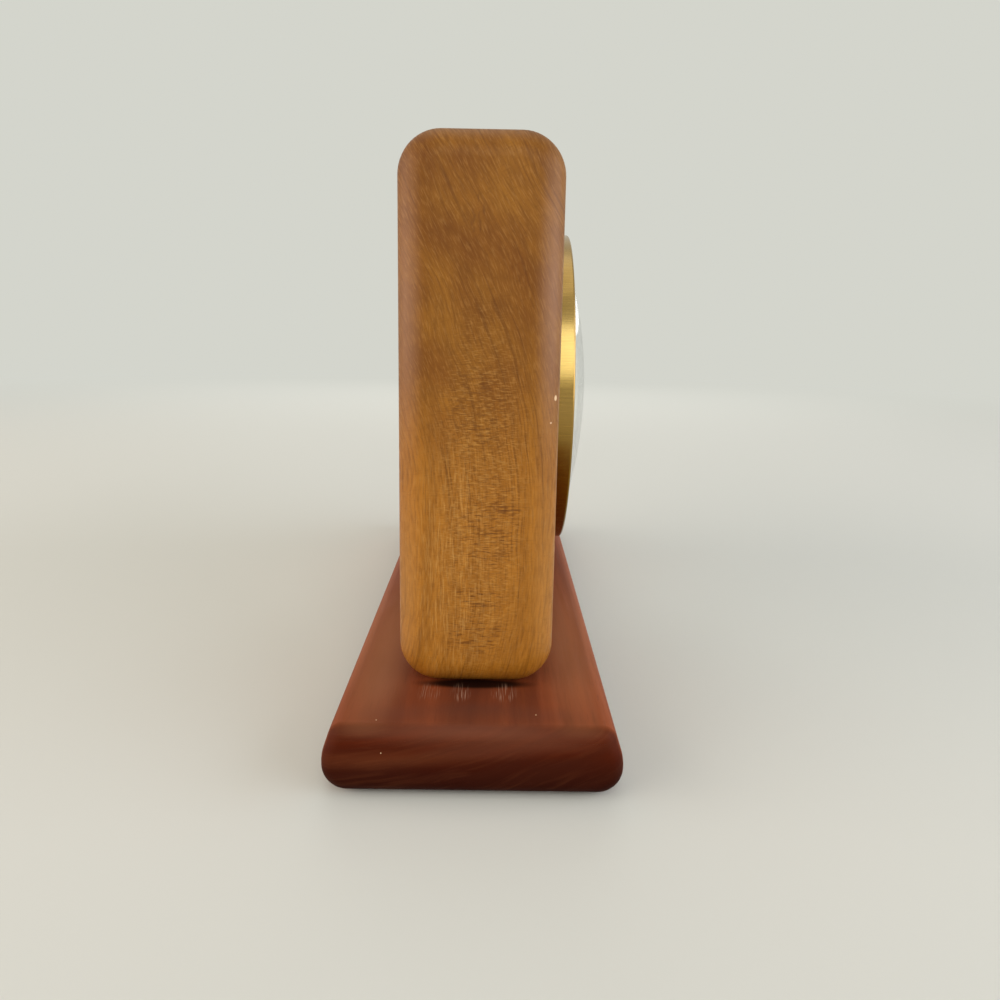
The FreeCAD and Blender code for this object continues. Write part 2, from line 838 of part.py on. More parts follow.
def hexagon(spot, radius, y_from, length):
    """A hexagonal bar along Y."""
    return plate_of([beside(spot, radius, 60.0 * corner) for corner in range(6)], y_from, length)


# Going train
def train_piece(name, spot, wheel, leaves, wheel_height, leaves_behind):
    """A wheel and its pinion arbor. wheel and leaves are (count, module, bearing)."""
    wheel_from = front_plate_back + wheel_height
    wheel_to = wheel_from + wheel_thickness
    leaf_from = wheel_to if leaves_behind else wheel_from - leaf_length
    save(name + "_wheel", crossed_wheel(spot, *wheel, wheel_from, wheel_thickness, arbor_radius + seat_slack))
    arbor = stepped_rod(spot, [
        (pivot_radius, front_plate_front), (arbor_radius, front_plate_back + turn_gap),
        (pivot_radius, back_plate_front - turn_gap), (pivot_radius, back_plate_back),
    ])
    save(name + "_pinion", joined(arbor, leaf_blank(spot, *leaves, leaf_from, leaf_length)))


def make_train():
    """Second, centre, third and fourth wheels with their pinions, and the escape wheel."""
    train_piece(
        "second", second, (second_teeth, second_module, bearing_of(second, centre)),
        (second_leaves, barrel_module, bearing_of(second, barrel)), second_wheel_height, True,
    )
    train_piece(
        "third", third, (third_teeth, third_module, bearing_of(third, fourth)),
        (third_leaves, centre_module, bearing_of(third, centre)), third_wheel_height, False,
    )
    train_piece(
        "fourth", fourth, (fourth_teeth, fourth_module, bearing_of(fourth, escape)),
        (fourth_leaves, third_module, bearing_of(fourth, third)), fourth_wheel_height, False,
    )


def make_centre():
    """The hollow centre pinion with its wheel, and the hand arbor that runs through it."""
    wheel_from = front_plate_back + centre_wheel_height
    leaf_from = front_plate_back + second_wheel_height - (leaf_length - wheel_thickness) / 2
    save("centre_wheel", crossed_wheel(
        centre, centre_teeth, centre_module, bearing_of(centre, third), wheel_from,
        wheel_thickness, centre_pipe_radius + seat_slack,
    ))
    pipe = rod(centre, centre_pipe_radius, front_plate_front, leaf_from + leaf_length)
    leaves = leaf_blank(
        centre, centre_leaves, second_module, bearing_of(centre, second), leaf_from, leaf_length
    )
    hole = rod(centre, hand_arbor_radius + running_slack, front_plate_front - overrun, back_plate_front)
    save("centre_pinion", solid_of(joined(pipe, leaves).cut(hole)))


def make_barrel():
    """The going barrel with its lid, mainspring and arbor."""
    start = front_plate_back + barrel_height
    step = start + barrel_tooth_step
    end = start + barrel_drum_length
    drum_radius = barrel_module * (barrel_teeth / 2 - wheel_dedendum_share) - turn_gap
    teeth = wheel_blank(
        barrel, barrel_teeth, barrel_module, bearing_of(barrel, second), start, barrel_tooth_step
    )
    drum = rod(barrel, drum_radius, step, end)
    room = rod(barrel, drum_radius - barrel_wall, start + barrel_floor, end + overrun)
    bore = barrel_arbor_radius + running_slack
    shell = joined(teeth, drum).cut([room, rod(barrel, bore, start - overrun, end + overrun)])
    save("barrel", solid_of(shell))

    lid_from = end - barrel_lid_thickness
    save("barrel_lid", tube(barrel, drum_radius - barrel_wall - seat_slack, bore, lid_from, end))

    spring_from = start + barrel_floor + mainspring_height_gap
    save("mainspring", spiral_strip(
        barrel, barrel_arbor_hub_radius + mainspring_hub_gap,
        drum_radius - barrel_wall - mainspring_wall_gap - mainspring_strip, mainspring_turns,
        mainspring_strip, spring_from, lid_from - mainspring_height_gap - spring_from,
    ))

    ratchet_from = back_plate_back + ratchet_lift
    ratchet_to = ratchet_from + ratchet_thickness
    key_from = dish_back + key_cover_gap
    arbor = stepped_rod(barrel, [
        (barrel_arbor_pivot_radius, front_plate_front),
        (barrel_arbor_radius, front_plate_back + turn_gap),
        (barrel_arbor_hub_radius, start + barrel_floor + turn_gap),
        (barrel_arbor_radius, lid_from - turn_gap),
        (barrel_arbor_rear_radius, end + turn_gap),
        (barrel_arbor_radius, ratchet_to), (barrel_arbor_radius, key_from + key_stem_length),
    ])
    flat = ratchet_square / 2
    square = Part.makeBox(
        ratchet_square, ratchet_thickness, ratchet_square,
        FreeCAD.Vector(barrel[0] - flat, ratchet_from, barrel[1] - flat),
    )
    round_part = rod(barrel, barrel_arbor_rear_radius + overrun, ratchet_from, ratchet_to)
    save("barrel_arbor", solid_of(arbor.cut(round_part.cut(square))))
    make_ratchet(ratchet_from, flat)
    make_click(ratchet_from)
    make_key(key_from)


def make_ratchet(ratchet_from, flat):
    """The ratchet wheel on the arbor's square, with one tooth's steep face at the click's nose."""
    pitch = 360.0 / ratchet_teeth
    corners = []
    for tooth in range(ratchet_teeth):
        bearing = nose_bearing + tooth * pitch
        corners.append(beside(barrel, ratchet_radius, bearing))
        corners.append(beside(barrel, ratchet_radius - ratchet_tooth_depth, bearing))
    blank = plate_of(corners, ratchet_from, ratchet_thickness)
    side = flat + seat_slack
    hole = Part.makeBox(
        2 * side, ratchet_thickness + 2 * overrun, 2 * side,
        FreeCAD.Vector(barrel[0] - side, ratchet_from - overrun, barrel[1] - side),
    )
    save("ratchet_wheel", solid_of(blank.cut(hole)))


def make_click(ratchet_from):
    """The click that catches the ratchet, its shouldered post, and its leaf spring."""
    root = ratchet_radius - ratchet_tooth_depth
    face = nose_bearing + math.degrees(click_nose_gap / root)
    pitch = 360.0 / ratchet_teeth
    nose = beside(barrel, root + click_nose_gap + seat_slack, face)
    out = bearing_of(click_spot, nose)
    body = plate_of([
        nose, beside(barrel, root + click_nose_gap + click_nose_width, face),
        beside(click_spot, click_hub_radius, out + 60.0), click_spot,
        beside(click_spot, click_hub_radius, out - 20.0),
        beside(barrel, ratchet_radius + turn_gap, nose_bearing + pitch),
    ], ratchet_from, click_thickness)
    hub = rod(click_spot, click_hub_radius, ratchet_from, ratchet_from + click_thickness)
    bore = rod(
        click_spot, click_post_radius + running_slack, ratchet_from - overrun,
        ratchet_from + click_thickness + overrun,
    )
    save("click", solid_of(joined(body, hub).cut(bore)))

    head_from = ratchet_from + click_thickness + seat_slack
    save("click_post", screw(
        click_spot, click_post_radius, click_post_head_radius, click_post_head_height,
        head_from, back_plate_front, screw_slot_width, screw_slot_depth / 2,
    ))

    end = beside(barrel, ratchet_radius + click_spring_end_gap, nose_bearing + click_spring_end_turn)
    reach = math.hypot(end[0] - spring_foot[0], end[1] - spring_foot[1])
    strip = bar_of(
        spring_foot, bearing_of(spring_foot, end), 0, reach, click_spring_strip, click_spring_strip,
        ratchet_from, click_thickness,
    )
    foot = rod(spring_foot, click_spring_foot_radius, back_plate_back, ratchet_from + click_thickness)
    hole = rod(
        spring_foot, click_post_radius + seat_slack, back_plate_back - overrun,
        ratchet_from + click_thickness + overrun,
    )
    save("click_spring", solid_of(joined(strip, foot).cut(hole)))
    save("click_spring_screw", screw(
        spring_foot, click_post_radius, click_post_head_radius, click_post_head_height,
        ratchet_from + click_thickness, back_plate_front, screw_slot_width, screw_slot_depth / 2,
    ))


def make_key(key_from):
    """The winding key: a round stem and a flat wing with two pierced lobes."""
    stem_to = key_from + key_stem_length
    stem = rod(barrel, key_stem_radius, key_from, stem_to)
    wing_y = stem_to - key_wing_seat + key_wing_waist / 2
    lobe_reach = key_wing_width / 2 - key_lobe_radius
    wing = Part.makeBox(
        key_wing_thickness, key_wing_waist, 2 * lobe_reach,
        FreeCAD.Vector(
            barrel[0] - key_wing_thickness / 2, wing_y - key_wing_waist / 2, barrel[1] - lobe_reach
        ),
    )
    lobes, holes = [], []
    for side in (-1, 1):
        middle = FreeCAD.Vector(
            barrel[0] - key_wing_thickness / 2, wing_y, barrel[1] + side * lobe_reach
        )
        out = FreeCAD.Vector(1, 0, 0)
        lobes.append(Part.makeCylinder(key_lobe_radius, key_wing_thickness, middle, out))
        holes.append(Part.makeCylinder(key_lobe_hole_radius, key_wing_thickness, middle, out))
    socket = rod(barrel, key_socket_radius + seat_slack, key_from - overrun, stem_to)
    save("winding_key", solid_of(joined(stem, wing, *lobes).cut(holes + [socket])))


# Motion work and hands
def hand_shape(bearing, length, width, hub_radius, bore, y_from):
    """A lance hand: it widens from the boss, then narrows to a point, and has a short tail."""
    y_to = y_from + hand_thickness
    shoulder = length * hand_stem_share
    tip = length * hand_point_share
    stem = bar_of(
        centre, bearing, -hand_tail, shoulder, width / 2, width, y_from, hand_thickness
    )
    blade = bar_of(centre, bearing, shoulder, tip, width, width / 4, y_from, hand_thickness)
    point = bar_of(
        centre, bearing, tip, length, width / 4, width / 8, y_from, hand_thickness
    )
    hub = rod(centre, hub_radius, y_from, y_to)
    hole = rod(centre, bore, y_from - overrun, y_to + overrun)
    return solid_of(joined(stem, blade, point, hub).cut(hole))


def make_motion():
    """Cannon pinion, minute wheel and hour wheel, the hands, and the arbor that sets them."""
    cannon_back = front_plate_front - cannon_height
    cannon_front = cannon_back - cannon_leaf_length
    minute_back = cannon_back - (cannon_leaf_length - motion_wheel_thickness) / 2
    minute_front = minute_back - motion_wheel_thickness
    leaves_front = minute_front - motion_leaf_length
    hour_front = leaves_front + hour_wheel_set
    hour_hand_front = dial_front - hour_hand_height - hand_thickness
    minute_hand_front = hour_hand_front - hand_step - hand_thickness
    tight = hand_arbor_radius + seat_slack

    leaves = leaf_blank(
        centre, cannon_leaves, motion_module, bearing_of(centre, minute_post), cannon_front,
        cannon_leaf_length,
    )
    pipe = rod(centre, cannon_pipe_radius, minute_hand_front, cannon_back)
    bore = rod(centre, tight, minute_hand_front - overrun, cannon_back + overrun)
    save("cannon_pinion", solid_of(joined(leaves, pipe).cut(bore)))

    save("minute_wheel", crossed_wheel(
        minute_post, minute_wheel_teeth, motion_module, bearing_of(minute_post, centre),
        minute_front, motion_wheel_thickness, minute_post_radius + running_slack,
    ))
    minute_leaf = leaf_blank(
        minute_post, minute_leaves, hour_module, bearing_of(minute_post, centre), leaves_front,
        motion_leaf_length,
    )
    minute_bore = rod(
        minute_post, minute_post_radius + running_slack, leaves_front - overrun, minute_front + overrun
    )
    save("minute_pinion", minute_leaf.cut(minute_bore))
    save("minute_post", stepped_rod(minute_post, [
        (minute_post_head_radius, leaves_front - seat_slack - minute_post_head_height),
        (minute_post_radius, leaves_front - seat_slack), (minute_post_radius, front_plate_back),
    ]))

    hour_wheel = crossed_wheel(
        centre, hour_teeth, hour_module, bearing_of(centre, minute_post), hour_front,
        motion_wheel_thickness, cannon_pipe_radius + running_slack,
    )
    hour_pipe = tube(
        centre, hour_pipe_radius, cannon_pipe_radius + running_slack, hour_hand_front, hour_front
    )
    save("hour_wheel", joined(hour_wheel, hour_pipe))

    hour_hand_turn = 30 * shown_hour + minute_hand_angle / 12
    save("hour_hand", hand_shape(
        90 - hour_hand_turn, hour_hand_length, hour_hand_width, hour_hub_radius,
        hour_pipe_radius + seat_slack, hour_hand_front,
    ))
    save("minute_hand", hand_shape(
        90 - minute_hand_angle, minute_hand_length, minute_hand_width, minute_hub_radius,
        cannon_pipe_radius + seat_slack, minute_hand_front,
    ))
    nut_front = minute_hand_front - hand_nut_height
    nut = rod(centre, hand_nut_radius, nut_front, minute_hand_front)
    save("hand_nut", nut.cut(rod(centre, tight, nut_front - overrun, minute_hand_front + overrun)))
    make_hand_arbor(nut_front, tight)


def make_hand_arbor(nut_front, tight):
    """The arbor from the hand nut to the set knob, with the clutch that lets it slip."""
    pinion_back = front_plate_back + second_wheel_height + (leaf_length + wheel_thickness) / 2
    collar_from = pinion_back + running_slack + clutch_rise + clutch_thickness
    knob_from = dish_back + knob_cover_gap
    knob_to = knob_from + knob_length
    save("hand_arbor", stepped_rod(centre, [
        (hand_arbor_radius, nut_front), (collar_radius, collar_from),
        (rear_journal_radius, collar_from + collar_length), (hand_arbor_radius, back_plate_back),
        (hand_arbor_radius, knob_to - overrun),
    ]))
    washer_front = pinion_back + running_slack
    washer = turned(centre, [
        (tight, washer_front + clutch_rise), (clutch_radius, washer_front),
        (clutch_radius, washer_front + clutch_thickness),
        (tight, washer_front + clutch_rise + clutch_thickness),
    ])
    save("clutch_spring", solid_of(washer))
    flutes = [
        rod(beside(centre, knob_radius, flute * 360 / knob_flutes), knob_flute_radius,
            knob_from - overrun, knob_to + overrun)
        for flute in range(knob_flutes)
    ]
    socket = rod(centre, tight, knob_from - overrun, knob_to - overrun + seat_slack)
    save("set_knob", solid_of(rod(centre, knob_radius, knob_from, knob_to).cut(flutes + [socket])))


# Escapement
def make_escapement():
    """Escape wheel and pinion, the pin-pallet lever, and the balance with its hairspring."""
    wheel_from = front_plate_back + escape_wheel_height
    wheel_to = wheel_from + escape_thickness
    pitch = 360.0 / escape_teeth
    root = escape_radius - escape_tooth_depth
    towards_lever = bearing_of(escape, lever)
    corners = []
    for tooth in range(escape_teeth):
        bearing = towards_lever + tooth * pitch
        for radius, share in (
            (root, escape_heel_share), (escape_radius, -escape_tip_share),
            (escape_radius, escape_tip_share), (root, escape_slope_share),
        ):
            corners.append(beside(escape, radius, bearing + share * pitch))
    blank = plate_of(corners, wheel_from, escape_thickness)
    save("escape_wheel", blank.cut(
        rod(escape, arbor_radius + seat_slack, wheel_from - overrun, wheel_to + overrun)
    ))
    leaf_from = front_plate_back + fourth_wheel_height - (leaf_length - wheel_thickness) / 2
    arbor = stepped_rod(escape, [
        (pivot_radius, front_plate_front), (arbor_radius, front_plate_back + turn_gap),
        (pivot_radius, back_plate_front - turn_gap), (pivot_radius, back_plate_back),
    ])
    save("escape_pinion", joined(arbor, leaf_blank(
        escape, escape_leaves, fourth_module, bearing_of(escape, fourth), leaf_from, leaf_length
    )))
    make_lever(wheel_from, wheel_to, towards_lever)
    make_balance(wheel_from)


def make_lever(wheel_from, wheel_to, towards_lever):
    """The pin-pallet lever in front of the escape wheel, and the arbor that it swings on."""
    plate_to = wheel_from - lever_wheel_gap
    plate_from = plate_to - lever_thickness
    half_span = lever_span_share * 180.0
    pin_ring = escape_radius + pallet_pin_radius + pallet_pin_gap
    body = rod(lever, lever_hub_radius, plate_from, plate_to)
    arms, pins = [], []
    for side in (-1, 1):
        pin = beside(escape, pin_ring, towards_lever + side * half_span)
        reach = math.hypot(pin[0] - lever[0], pin[1] - lever[1])
        arms.append(bar_of(
            lever, bearing_of(lever, pin), 0, reach + pallet_pin_radius, lever_arm_width,
            2 * lever_arm_width / 3, plate_from, lever_thickness,
        ))
        pins.append(rod(pin, pallet_pin_radius, plate_from, wheel_to + seat_slack))
    fork = bar_of(
        lever, bearing_of(lever, balance), 0, fork_reach, lever_arm_width, fork_width,
        plate_from, lever_thickness,
    )
    clear = rod(balance, fork_gap, plate_from - overrun, plate_to + overrun)
    slot = bar_of(
        balance, bearing_of(balance, lever), 0, fork_gap + fork_slot_depth, fork_slot_width,
        fork_slot_width, plate_from - overrun, lever_thickness + 2 * overrun,
    )
    bore = rod(lever, arbor_radius + seat_slack, plate_from - overrun, plate_to + overrun)
    shape = joined(body, *arms, fork, *pins).cut([clear, slot, bore])
    save("pallet_lever", solid_of(shape))
    save("lever_arbor", stepped_rod(lever, [
        (pivot_radius, front_plate_front), (arbor_radius, front_plate_back + turn_gap),
        (pivot_radius, back_plate_front - turn_gap), (pivot_radius, back_plate_back),
    ]))


def make_balance(wheel_from):
    """The balance wheel on its staff, the roller, the hairspring and the bearing screws."""
    rim_from = front_plate_back + balance_wheel_height
    rim_to = rim_from + balance_thickness
    rim = tube(balance, balance_radius, balance_radius - balance_rim, rim_from, rim_to)
    arm = bar_of(
        balance, 90.0, -balance_radius + balance_rim / 2, balance_radius - balance_rim / 2,
        balance_spoke_width, balance_spoke_width, rim_from, balance_thickness,
    )
    hub = rod(balance, 2 * balance_staff_radius, rim_from, rim_to)
    bore = rod(balance, balance_staff_radius + seat_slack, rim_from - overrun, rim_to + overrun)
    save("balance_wheel", solid_of(joined(rim, arm, hub).cut(bore)))

    front_cup = front_plate_back + bearing_screw_cup
    back_cup = back_plate_front - bearing_screw_cup
    sink = balance_pivot_length - turn_gap / 2
    roller_from = wheel_from - lever_wheel_gap + roller_lever_gap
    staff = stepped_rod(balance, [
        (balance_pivot_radius, front_cup - sink),
        (balance_staff_radius, front_cup + turn_gap / 2),
        (roller_radius, roller_from), (balance_staff_radius, roller_from + roller_thickness),
        (balance_pivot_radius, back_cup - turn_gap / 2), (balance_pivot_radius, back_cup + sink),
    ])
    pin_spot = beside(balance, roller_pin_ring, bearing_of(balance, lever))
    pin = rod(pin_spot, roller_pin_radius, roller_from - lever_thickness, roller_from + seat_slack)
    save("balance_staff", joined(staff, pin))

    spring_from = rim_to + hairspring_lift
    save("hairspring", spiral_strip(
        balance, collet_radius + seat_slack, hairspring_radius, hairspring_turns,
        hairspring_strip, spring_from, hairspring_height,
    ))
    save("hairspring_collet", tube(
        balance, collet_radius, balance_staff_radius + seat_slack, rim_to,
        spring_from + hairspring_height,
    ))
    save("hairspring_stud", rod(stud, stud_radius, spring_from, back_plate_back))
    screws = []
    for tip, head in ((front_cup, front_plate_front), (back_cup, back_plate_back)):
        blank = screw(
            balance, bearing_screw_radius, bearing_screw_head_radius, bearing_screw_head_height,
            head, tip, screw_slot_width, screw_slot_depth,
        )
        inward = balance_pivot_length if tip < head else -balance_pivot_length
        cup = rod(
            balance, balance_pivot_radius + running_slack, min(tip, tip + inward), max(tip, tip + inward)
        )
        screws.append(solid_of(blank.cut(cup)))
    save("balance_screws", *screws)
    make_regulator(spring_from + hairspring_height)


def make_regulator(spring_back):
    """The regulator: a ring round the rear bearing screw, a tail through the cover, curb pins."""
    ring_from = back_plate_back + running_slack
    ring_to = ring_from + regulator_thickness
    inner = bearing_screw_head_radius + running_slack
    ring = rod(balance, inner + regulator_ring_width, ring_from, ring_to)
    arm = bar_of(
        balance, regulator_bearing, inner, regulator_reach, regulator_arm_width,
        2 * regulator_tail_radius, ring_from, regulator_thickness,
    )
    ear = bar_of(
        balance, curb_bearing, inner, hairspring_radius + curb_pin_spread + curb_pin_radius,
        curb_arm_width, curb_arm_width, ring_from, regulator_thickness,
    )
    tail = rod(
        beside(balance, regulator_reach, regulator_bearing), regulator_tail_radius, ring_from,
        dish_back + regulator_tail_stand,
    )
    pins = [
        rod(
            beside(balance, hairspring_radius + side * curb_pin_spread, curb_bearing),
            curb_pin_radius, spring_back + turn_gap, ring_to,
        )
        for side in (-1, 1)
    ]
    bore = rod(balance, inner, ring_from - overrun, ring_to + overrun)
    save("regulator", solid_of(joined(ring, arm, ear, tail, *pins).cut(bore)))


make_case()
make_front()
make_housing()
make_frame()
make_train()
make_centre()
make_barrel()
make_motion()
make_escapement()
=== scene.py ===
"""Wooden desk clock: the finishes and the fine pieces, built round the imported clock.

Metres, +Z up. X runs along the clock, and the dial faces -Y. The camera stands off the left end
and looks along +X, a little downwards.
"""
import logging
import math
from collections.abc import Callable, Iterable
from dataclasses import dataclass
from enum import Enum
from functools import cached_property

import bpy
from bpy.types import Material, Node, NodeSocket, NodeTree, Object, World
from mathutils import Matrix, Vector


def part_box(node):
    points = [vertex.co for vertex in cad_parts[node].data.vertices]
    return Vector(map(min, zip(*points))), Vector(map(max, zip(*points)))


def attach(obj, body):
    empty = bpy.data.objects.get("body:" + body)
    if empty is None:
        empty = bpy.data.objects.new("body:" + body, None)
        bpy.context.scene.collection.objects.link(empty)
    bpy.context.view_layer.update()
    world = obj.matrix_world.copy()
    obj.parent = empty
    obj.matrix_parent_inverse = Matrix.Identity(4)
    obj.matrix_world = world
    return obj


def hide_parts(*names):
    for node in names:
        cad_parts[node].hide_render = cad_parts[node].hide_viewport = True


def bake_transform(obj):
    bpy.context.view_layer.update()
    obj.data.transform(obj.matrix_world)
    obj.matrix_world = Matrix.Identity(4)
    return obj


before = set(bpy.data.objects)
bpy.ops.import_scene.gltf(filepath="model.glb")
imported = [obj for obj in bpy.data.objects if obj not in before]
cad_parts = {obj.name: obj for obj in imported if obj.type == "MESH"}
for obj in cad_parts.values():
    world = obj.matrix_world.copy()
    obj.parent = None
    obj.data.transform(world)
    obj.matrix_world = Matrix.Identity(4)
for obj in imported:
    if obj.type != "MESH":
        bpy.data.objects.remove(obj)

MM = 0.001
# Where a Mix node takes its two colours
MIX_A, MIX_B = 6, 7
# Turns a round primitive's axis from Z to Y
SIDEWAYS = (math.pi / 2, 0.0, 0.0)
# How nearly a face or an edge points along an axis to count as doing so
ALONG = 0.99

log = logging.getLogger("desk_clock")

Colour = tuple[float, float, float, float]
Triple = tuple[float, float, float]
Profile = list[tuple[float, float]]


class Body(Enum):
    """The clock's moving groups that a new piece can ride on."""

    CASE = "case"
    CLICK = "click_work"


class Mark(Enum):
    """The signs on the rear cover and what each one is drawn with."""

    FASTER = "+"
    SLOWER = "–"


# Colours and nodes
def linear(hex_value: str) -> Colour:
    """The linear colour of an sRGB hex value.

    Args:
        hex_value: six hex digits, such as "C08040"

    Returns:
        Red, green, blue and alpha as a shader takes them.
    """
    parts = [int(hex_value[start:start + 2], 16) / 255 for start in (0, 2, 4)]
    red, green, blue = (
        part / 12.92 if part <= 0.04045 else ((part + 0.055) / 1.055) ** 2.4 for part in parts
    )
    return red, green, blue, 1.0


class Graph:
    """The node tree of a material or a world, built from empty."""

    def __init__(self, owner: Material | World) -> None:
        """Empties the tree.

        Args:
            owner: the material or the world
        """
        owner.use_nodes = True
        self.owner = owner
        self.tree: NodeTree = owner.node_tree
        self.tree.nodes.clear()

    def add(
        self, kind: str, inputs: dict | tuple = (), stops: tuple = (), **settings: object
    ) -> Node:
        """Adds one node, with its settings and what its inputs take.

        Args:
            kind: the node's type without its ShaderNode prefix
            inputs: a value, a hex colour, a socket or a node for each input, in order or by name
                or number. A node stands for the first of its outputs that is in use
            stops: the places and hex colours of a colour ramp's two ends
            settings: the node's other settings

        Returns:
            The new node.
        """
        node = self.tree.nodes.new("ShaderNode" + kind)
        for name, value in settings.items():
            setattr(node, name, value)
        if stops:
            for element, (place, tone) in zip(node.color_ramp.elements, stops):
                element.position, element.color = place, linear(tone)
        for name, value in inputs.items() if isinstance(inputs, dict) else enumerate(inputs):
            if isinstance(value, Node):
                value = next(socket for socket in value.outputs if socket.enabled)
            if isinstance(value, NodeSocket):
                self.tree.links.new(value, node.inputs[name])
            else:
                colour = linear(value) if isinstance(value, str) else value
                node.inputs[name].default_value = colour
        return node

    @cached_property
    def place(self) -> NodeSocket:
        """The object coordinates."""
        return self.add("TexCoord").outputs["Object"]

    def patches(
        self, place: NodeSocket | Node, size: Iterable[float], detail: float = 2.0
    ) -> Node:
        """Noise whose patches have a size of their own along each axis.

        Args:
            place: the coordinates
            size: a patch's size along each axis, in the coordinates' unit
            detail: how many finer layers the noise has

        Returns:
            The noise.
        """
        rates = tuple(1 / part for part in size)
        spaced = self.add("VectorMath", (place, rates), operation="MULTIPLY")
        return self.add("TexNoise", {"Vector": spaced, "Scale": 1.0, "Detail": detail})

    def shade(self, inputs: dict[str, object]) -> Material:
        """Ends a material with its Principled shader.

        Args:
            inputs: what the shader's sockets take, by name

        Returns:
            The material.
        """
        self.add("OutputMaterial", {"Surface": self.add("BsdfPrincipled", inputs)})
        return self.owner


@dataclass(frozen=True)
class Finish:
    """What every finish has: its real name and the slot of the record that it answers to."""

    name: str
    slot: str

    def start(self) -> Graph:
        """The empty graph of a new material."""
        return Graph(bpy.data.materials.new(self.name))

    def build(self) -> Material:
        """The finished material."""
        raise NotImplementedError


@dataclass(frozen=True)
class Flaw:
    """A mark in a surface: where it is, how far it reaches and its colour.

    A mark with a grain is broken into strokes of that size. All lengths are in millimetres. A
    mark without one is full up to its core, a share of its reach, and fades from there.
    """

    place: Triple
    reach: Triple
    tone: str
    strength: float = 1.0
    grain: Triple | None = None
    core: float = 0.0

    # A stroked mark's core, and the noise values where its strokes begin and are full
    STROKED_CORE = 0.35
    STROKES = (0.52, 0.66)

    def mask(self, graph: Graph) -> Node:
        """Where the mark shows, from 0 to its strength.

        Args:
            graph: the material's graph

        Returns:
            The mask.
        """
        start = tuple(part * MM for part in self.place)
        rates = tuple(1 / (part * MM) for part in self.reach)
        middle = graph.add("VectorMath", (graph.place, start), operation="SUBTRACT")
        spread = graph.add("VectorMath", (middle, rates), operation="MULTIPLY")
        distance = graph.add("VectorMath", (spread,), operation="LENGTH")
        core = self.STROKED_CORE if self.grain else self.core
        inside = graph.add(
            "MapRange", (distance, 1.0, core, 0.0, self.strength),
            interpolation_type="SMOOTHSTEP",
        )
        if not self.grain:
            return inside
        noise = graph.patches(graph.place, [part * MM for part in self.grain])
        strokes = graph.add("MapRange", (noise, *self.STROKES))
        return graph.add("Math", (inside, strokes), operation="MULTIPLY")


